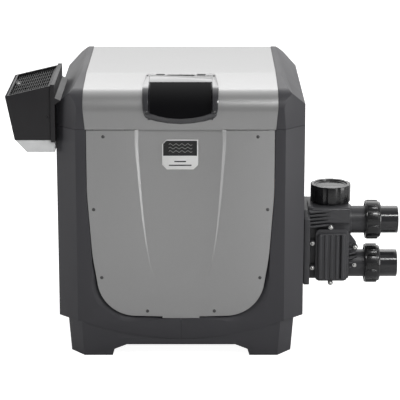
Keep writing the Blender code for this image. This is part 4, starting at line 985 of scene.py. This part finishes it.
def make_vent():
    flange = box((FLANGE_OUT, VENT_FRONT_Y - 0.004, 0.568), (-HALF - GAP, VENT_REAR_Y + 0.004, 0.718))
    face = box((-0.33, VENT_FRONT_Y + 0.001, 0.573), (-0.31, VENT_REAR_Y - 0.001, 0.7235))
    wedge = [(-HALF - 0.002, 0.664), (-HALF - 0.002, 0.684), (-0.305, 0.677)]
    combine(flange, [prism("XZ", [wedge], VENT_FRONT_Y - 0.004, VENT_REAR_Y + 0.004)], "UNION")
    rabbet = combine(face, [box((-0.33, 0.0, 0.56), (-0.31, 0.33, 0.7165))])
    combine(flange, [duct_hole(-0.36, -0.3), rabbet])
    place(rounded_edges(flange, 0.001, 3), "flange", "black_sheet", stands_for=["vent_flange"])

    right = FLANGE_OUT - GAP
    corners = [(right, HOOD_FOOT_Z), (right, HOOD_TOP_Z), (VENT_LEFT, HOOD_LIP_Z), (-0.4245, HOOD_FOOT_Z)]
    lean = (corners[2][0] - corners[3][0]) / (corners[2][1] - corners[3][1])
    well_left = corners[3][0] + VENT_WALL
    well = [
        (right - VENT_WALL, 0.575), (right - VENT_WALL, 0.75),
        (well_left + lean * 0.177, 0.75), (well_left + lean * 0.002, 0.575),
    ]
    inner_y = (VENT_FRONT_Y + VENT_WALL, VENT_REAR_Y - VENT_WALL)
    hood = prism("XZ", [corners], VENT_FRONT_Y, VENT_REAR_Y)
    combine(hood, [prism("XZ", [well], *inner_y), duct_hole(-0.36, -0.32)])
    place(rounded_edges(hood, 0.0007, 3), "hood", "black_sheet", stands_for=["vent_hood"])

    rise = (corners[1][1] - corners[2][1]) / (corners[1][0] - corners[2][0])
    low_x, high_x = VENT_LEFT + 0.0045, right - VENT_WALL - 0.0006

    def sheet_z(x, below=0.0075):
        return corners[2][1] + (x - corners[2][0]) * rise - below

    sheet = [(low_x, sheet_z(low_x)), (high_x, sheet_z(high_x)),
             (high_x, sheet_z(high_x) + 0.0015), (low_x, sheet_z(low_x) + 0.0015)]
    grille_y = (inner_y[0] + 0.0006, inner_y[1] - 0.0006)
    grille = prism("XZ", [sheet], *grille_y)
    slots = []
    columns, banks = 17, 6
    pitch = (high_x - low_x - 0.01) / columns
    run = (grille_y[1] - grille_y[0] - 0.012) / banks
    for column in range(columns):
        x = low_x + 0.005 + pitch * (column + 0.5)
        for bank in range(banks):
            y = grille_y[0] + 0.006 + run * bank
            slots.append(box((x - 0.0021, y + 0.0025, 0.65), (x + 0.0021, y + run - 0.0025, 0.75)))
    combine(grille, [join(slots)])
    place(grille, "grille", "grille", stands_for=["vent_grille"])

    # the rim folds in over the grille along its front, rear and outer edges
    rim_low, rim_high = (VENT_LEFT + 0.005, inner_y[0]), (high_x + 0.0004, inner_y[1])
    fold = 0.005
    for word, (x0, x1), (y0, y1) in (
        ("front", (rim_low[0], rim_high[0]), (rim_low[1], rim_low[1] + fold)),
        ("rear", (rim_low[0], rim_high[0]), (rim_high[1] - fold, rim_high[1])),
        ("outer", (rim_low[0], rim_low[0] + fold), (rim_low[1] + fold, rim_high[1] - fold)),
    ):
        strip = [(x0, sheet_z(x0, 0.0013)), (x1, sheet_z(x1, 0.0013)),
                 (x1, sheet_z(x1, 0.0003)), (x0, sheet_z(x0, 0.0003))]
        folded = rounded_edges(prism("XZ", [strip], y0, y1), 0.0003, 2)
        place(folded, f"hood_fold_{word}", "black_sheet")

    x = VENT_LEFT + 0.013
    z = sheet_z(x)
    foot = box((x, 0.19, z + 0.001), (x + 0.012, 0.23, z + 0.003))
    upright = box((x, 0.19, z), (x + 0.0018, 0.23, z + 0.007))
    bracket = rounded_edges(combine(foot, [upright], "UNION"), 0.0005, 2)
    place(bracket, "grille_bracket", "black_sheet")
    head = screw((x + 0.0065, 0.2, z + 0.003), (0, 0, 1), 0.0035, 0.0018)
    place(head, "grille_bracket_screw", "zinc")
    for word, y, direction in (("front", VENT_FRONT_Y, -1), ("rear", VENT_REAR_Y, 1)):
        head = screw((-0.3385, y, 0.634), (0, direction, 0), 0.0046, 0.0022)
        place(head, f"hood_screw_{word}", "black_sheet")

    wall_side = -HALF - 0.002
    tray = [(right, TRAY_TOP_Z), (-0.4235, TRAY_TOP_Z), (-0.394, TRAY_FOOT_Z),
            (wall_side, TRAY_FOOT_Z), (wall_side, TRAY_REST_Z), (right, TRAY_REST_Z)]
    scoop_right, scoop_z = right - 0.0015, TRAY_FOOT_Z + 0.0015
    scoop = [(scoop_right, 0.6), (-0.4215, 0.6), (-0.4215, TRAY_TOP_Z),
             (-0.3933, scoop_z), (scoop_right, scoop_z)]
    deflector = prism("XZ", [tray], VENT_FRONT_Y + 0.002, VENT_REAR_Y - 0.002)
    combine(deflector, [prism("XZ", [scoop], VENT_FRONT_Y + 0.0035, VENT_REAR_Y - 0.0035)])
    deflector = rounded_edges(deflector, 0.0008, 3)
    place(deflector, "deflector", "galvanised", stands_for=["vent_deflector"])
    drain = cylinder("Z", (-0.39, VENT_FRONT_Y + 0.012), 0.0036, 0.5395, 0.5425, 24)
    place(rounded_edges(drain, 0.0005, 2), "deflector_rivet", "black_sheet")


# --- Water header ---
BYPASS_X, BYPASS_Y = 0.398, 0.2
NECK_TOP = 0.402
CAP_RADIUS, CAP_FOOT, CAP_TOP = 0.0535, 0.369, 0.415
DISC_Z = CAP_TOP - 0.0046
PIPE_RADIUS, COLLAR_RADIUS, NUT_RADIUS = 0.0365, 0.0405, 0.0525
NUT_START, PORT_END = 0.4935, 0.577
PLATE_OUT = 0.339
BORE = 0.03


def soft_prism(plane, outline, low, high, width=0.0015, segments=3):
    return rounded_edges(prism(plane, [outline], low, high), width, segments, 35.0)


def boss(x, z, radius, low, high, width=0.0008, sides=32):
    return rounded_edges(cylinder("Y", (x, z), radius, low, high, sides), width, 2)


def soft_box(low, high, radius, start, end, width, segments):
    return soft_prism("YZ", rounded_box_outline(low, high, radius), start, end, width, segments)


def make_header():
    plate = rounded([(0.095, 0.162, 0.01, 6), (0.24, 0.162, 0.016, 8), (0.24, 0.374, 0.016, 8),
                     (0.128, 0.36, 0.012, 6), (0.095, 0.346, 0.01, 6)])
    body = soft_prism("YZ", plate, HALF + 0.0036, PLATE_OUT, 0.0018)
    start = PLATE_OUT - 0.004
    parts = [
        soft_box((0.128, 0.32), (0.246, 0.366), 0.009, start, 0.447, 0.003, 4),
        soft_box((0.14, 0.166), (0.232, 0.34), 0.01, start, 0.446, 0.002, 3),
        *port_bars(PIPE_RADIUS, 0.42, 0.494),
        *port_bars(COLLAR_RADIUS, NUT_START, 0.508),
        rounded_edges(cylinder("X", (HEADER_Y, UPPER_PORT_Z), COLLAR_RADIUS, 0.44, 0.452, 64), 0.0012, 2),
        cylinder("Z", (BYPASS_X, BYPASS_Y), 0.0455, 0.345, NECK_TOP, 72),
        soft_box((0.128, 0.356), (0.236, 0.37), 0.005, start, 0.348, 0.0015, 3),
    ]
    for k in range(5):
        z = 0.317 + 0.0098 * k
        rib = [(0.336, 0.108), (0.342, 0.1075), (0.398, 0.1288), (0.398, 0.134), (0.336, 0.134)]
        parts.append(soft_prism("XY", rib, z, z + 0.0052, 0.0012))
    for k in range(6):
        z = 0.196 + 0.0125 * k
        reach = 0.47 - 0.005 * max(0, k - 3)
        web = [(0.443, 0.1405), (0.45, 0.1405), (reach, 0.158), (reach, 0.172), (0.443, 0.172)]
        parts.append(soft_prism("XY", web, z, z + 0.0042, 0.001))
    cheek = [(0.44, 0.29), (0.449, 0.289), (0.4645, 0.268),
             (0.469, 0.252), (0.4645, 0.232), (0.44, 0.232)]
    parts.append(soft_prism("XZ", cheek, 0.1515, 0.156, 0.0012))
    parts += [boss(x, z, 0.0072, 0.1455, 0.156) for x, z in ((0.463, 0.253), (0.462, 0.2035))]
    parts += [boss(0.3475, z, 0.007, 0.1205, 0.145) for z in (0.2705, 0.2025)]
    combine(body, parts, "UNION")
    combine(body, [
        *port_bars(BORE, 0.3, 0.53, 48),
        cylinder("Z", (BYPASS_X, BYPASS_Y), BORE, 0.318, 0.42, 48),
    ])
    place(body, "header_moulding", "header", stands_for=["header_body"], smooth=33.0)
    soften("header_gasket", 0.0005)

    heads = [((0.463, 0.1455, 0.253), "right_high"), ((0.462, 0.1455, 0.2035), "right_low"),
             ((0.3475, 0.1205, 0.2705), "left_high"), ((0.3475, 0.1205, 0.2025), "left_low"),
             ((0.3955, 0.1205, 0.3145), "top"), ((0.3965, 0.1205, 0.16), "bottom")]
    for spot, word in heads:
        place(screw(spot, (0, -1, 0), 0.0042, 0.0024, 0.001), f"header_screw_{word}", "zinc")


def make_cover():
    """The flow switch cover: a rounded box with five raised ribs and a lug above and below."""
    edge = rounded_box_outline((0.3555, 0.1665), (0.4415, 0.3085), 0.012, 8)
    face = rounded_box_outline((0.3605, 0.1705), (0.437, 0.2985), 0.009, 8)
    back = rounded_box_outline((0.357, 0.168), (0.44, 0.2745), 0.008, 8)
    plate = soft_prism("XZ", edge, 0.1215, 0.1275, 0.0014)
    parts = [
        soft_prism("XZ", face, 0.115, 0.123, 0.003, 4),
        soft_prism("XZ", back, 0.125, 0.1397, 0.001),
        boss(0.3955, 0.3145, 0.008, 0.1215, 0.1275, 0.001, 40),
        boss(0.3965, 0.1615, 0.007, 0.1215, 0.1275, 0.001, 40),
    ]
    for k in range(5):
        x = 0.364 + 0.0149 * k
        rib = rounded_box_outline((x, 0.174), (x + 0.0078, 0.2962), 0.0036, 6)
        parts.append(rounded_edges(prism("XZ", [rib], 0.1122, 0.117), 0.002, 4, 50.0))
    combine(plate, parts, "UNION")
    place(plate, "flow_cover", "header", stands_for=["header_cover"], smooth=33.0)


def lobed(centre, radius, dip, count, flat=0.62):
    """A round outline with count broad grips between shallow dips."""
    outline = []
    for i in range(count):
        for share, depth in ((0.0, 0.0), (flat / 2, 0.0), (flat, 0.0), (flat + 0.07, 0.6),
                             (flat + 0.12, 1.0), (0.93, 1.0), (0.95, 0.6)):
            angle = 2 * math.pi * (i + share + 0.19) / count
            spoke = radius - dip * depth
            outline.append((centre[0] + spoke * math.cos(angle), centre[1] + spoke * math.sin(angle)))
    return outline


def make_cap():
    centre = (BYPASS_X, BYPASS_Y)
    cap = soft_prism("XY", lobed(centre, CAP_RADIUS, 0.0024, 10), CAP_FOOT, CAP_TOP, 0.0012, 3)
    combine(cap, [
        cylinder("Z", centre, 0.047, 0.35, NECK_TOP + 0.001, 64),
        turned([(0.0, 0.0), (0.04, 0.0), (0.0425, 0.0012), (0.0455, 0.008), (0.0, 0.008)],
               (*centre, DISC_Z), steps=72),
    ])
    place(cap, "valve_cap_moulding", "black", "valve_cap", ["bypass_cap"], smooth=35.0)
    disc = turned([(0.0, 0.0), (0.0385, 0.0), (0.0385, 0.0008), (0.037, 0.0014), (0.0, 0.0014)],
                  (*centre, DISC_Z), steps=64)
    place(disc, "valve_cap_disc", "black", "valve_cap", smooth=25.0)
    poppet = turned([
        (0.0, 0.388), (0.0045, 0.388), (0.0055, 0.361), (0.027, 0.357), (0.028, 0.354),
        (0.0, 0.3515),
    ], (*centre, 0.0))
    poppet = rounded_edges(poppet, 0.0005, 2)
    place(poppet, "valve_poppet_moulding", "pipe", "valve_poppet", ["bypass_poppet"])


def make_unions():
    for prefix, z in (("upper", UPPER_PORT_Z), ("lower", LOWER_PORT_Z)):
        centre = (HEADER_Y, z)
        axis = (0.0, HEADER_Y, z)
        nut = prism("YZ", [lobed(centre, NUT_RADIUS, 0.0036, 8, 0.5)], NUT_START, 0.523)
        nut = rounded_edges(nut, 0.0016, 3, 30.0)
        shoulder = turned([(0.0, 0.5215), (0.048, 0.5215), (0.048, 0.5265), (0.0455, 0.5302),
                           (0.0, 0.531)], axis, "X", 72)
        collar = turned([(0.0, 0.49), (0.05, 0.49), (0.0512, 0.4912), (0.0512, 0.4945),
                         (0.0, 0.4945)], axis, "X", 72)
        combine(nut, [shoulder, collar], "UNION")
        combine(nut, [cylinder("X", centre, 0.0435, 0.47, 0.5228, 64),
                      cylinder("X", centre, 0.038, 0.5, 0.54, 64)])
        place(nut, f"{prefix}_nut_moulding", "black", f"{prefix}_nut", [f"{prefix}_union_nut"],
              smooth=33.0)
        tail = turned([
            (PIPE_RADIUS - 0.0012, PORT_END), (PIPE_RADIUS, PORT_END - 0.0012), (PIPE_RADIUS, 0.522),
            (0.0425, 0.522), (0.0425, 0.513), (0.0305, 0.513), (0.0305, PORT_END - 0.001),
            (0.0315, PORT_END),
        ], axis, "X", 96, closed=True)
        place(tail, f"{prefix}_tail_moulding", "pipe", stands_for=[f"{prefix}_tailpiece"])


def make_works():
    """The rear, the deck and the works keep the frame's shapes, with rounded edges."""
    for name, width in (
        ("rear_panel", 0.0012), ("floor_pan", 0.0006), ("combustion_chamber", 0.001),
        ("chamber_lid", 0.0006), ("blower_housing", 0.001), ("gas_valve", 0.001),
        ("transformer", 0.0008), ("blower_motor", 0.001), ("pressure_switch", 0.0005),
        ("burner", 0.0005), ("igniter", 0.0004), ("flame_sensor", 0.0004),
    ):
        soften(name, width)


make_bezel()
make_door()
make_controls()
make_vent()
make_header()
make_cover()
make_cap()
make_unions()
make_works()


# --- What stays as the frame has it: its finish only ---
def finish_carried_over():
    for name, node in NODES.items():
        paint(node, SLOT_LOOKS[SLOT_OF[name]], 32.0)


finish_carried_over()
make_camera()
make_studio()
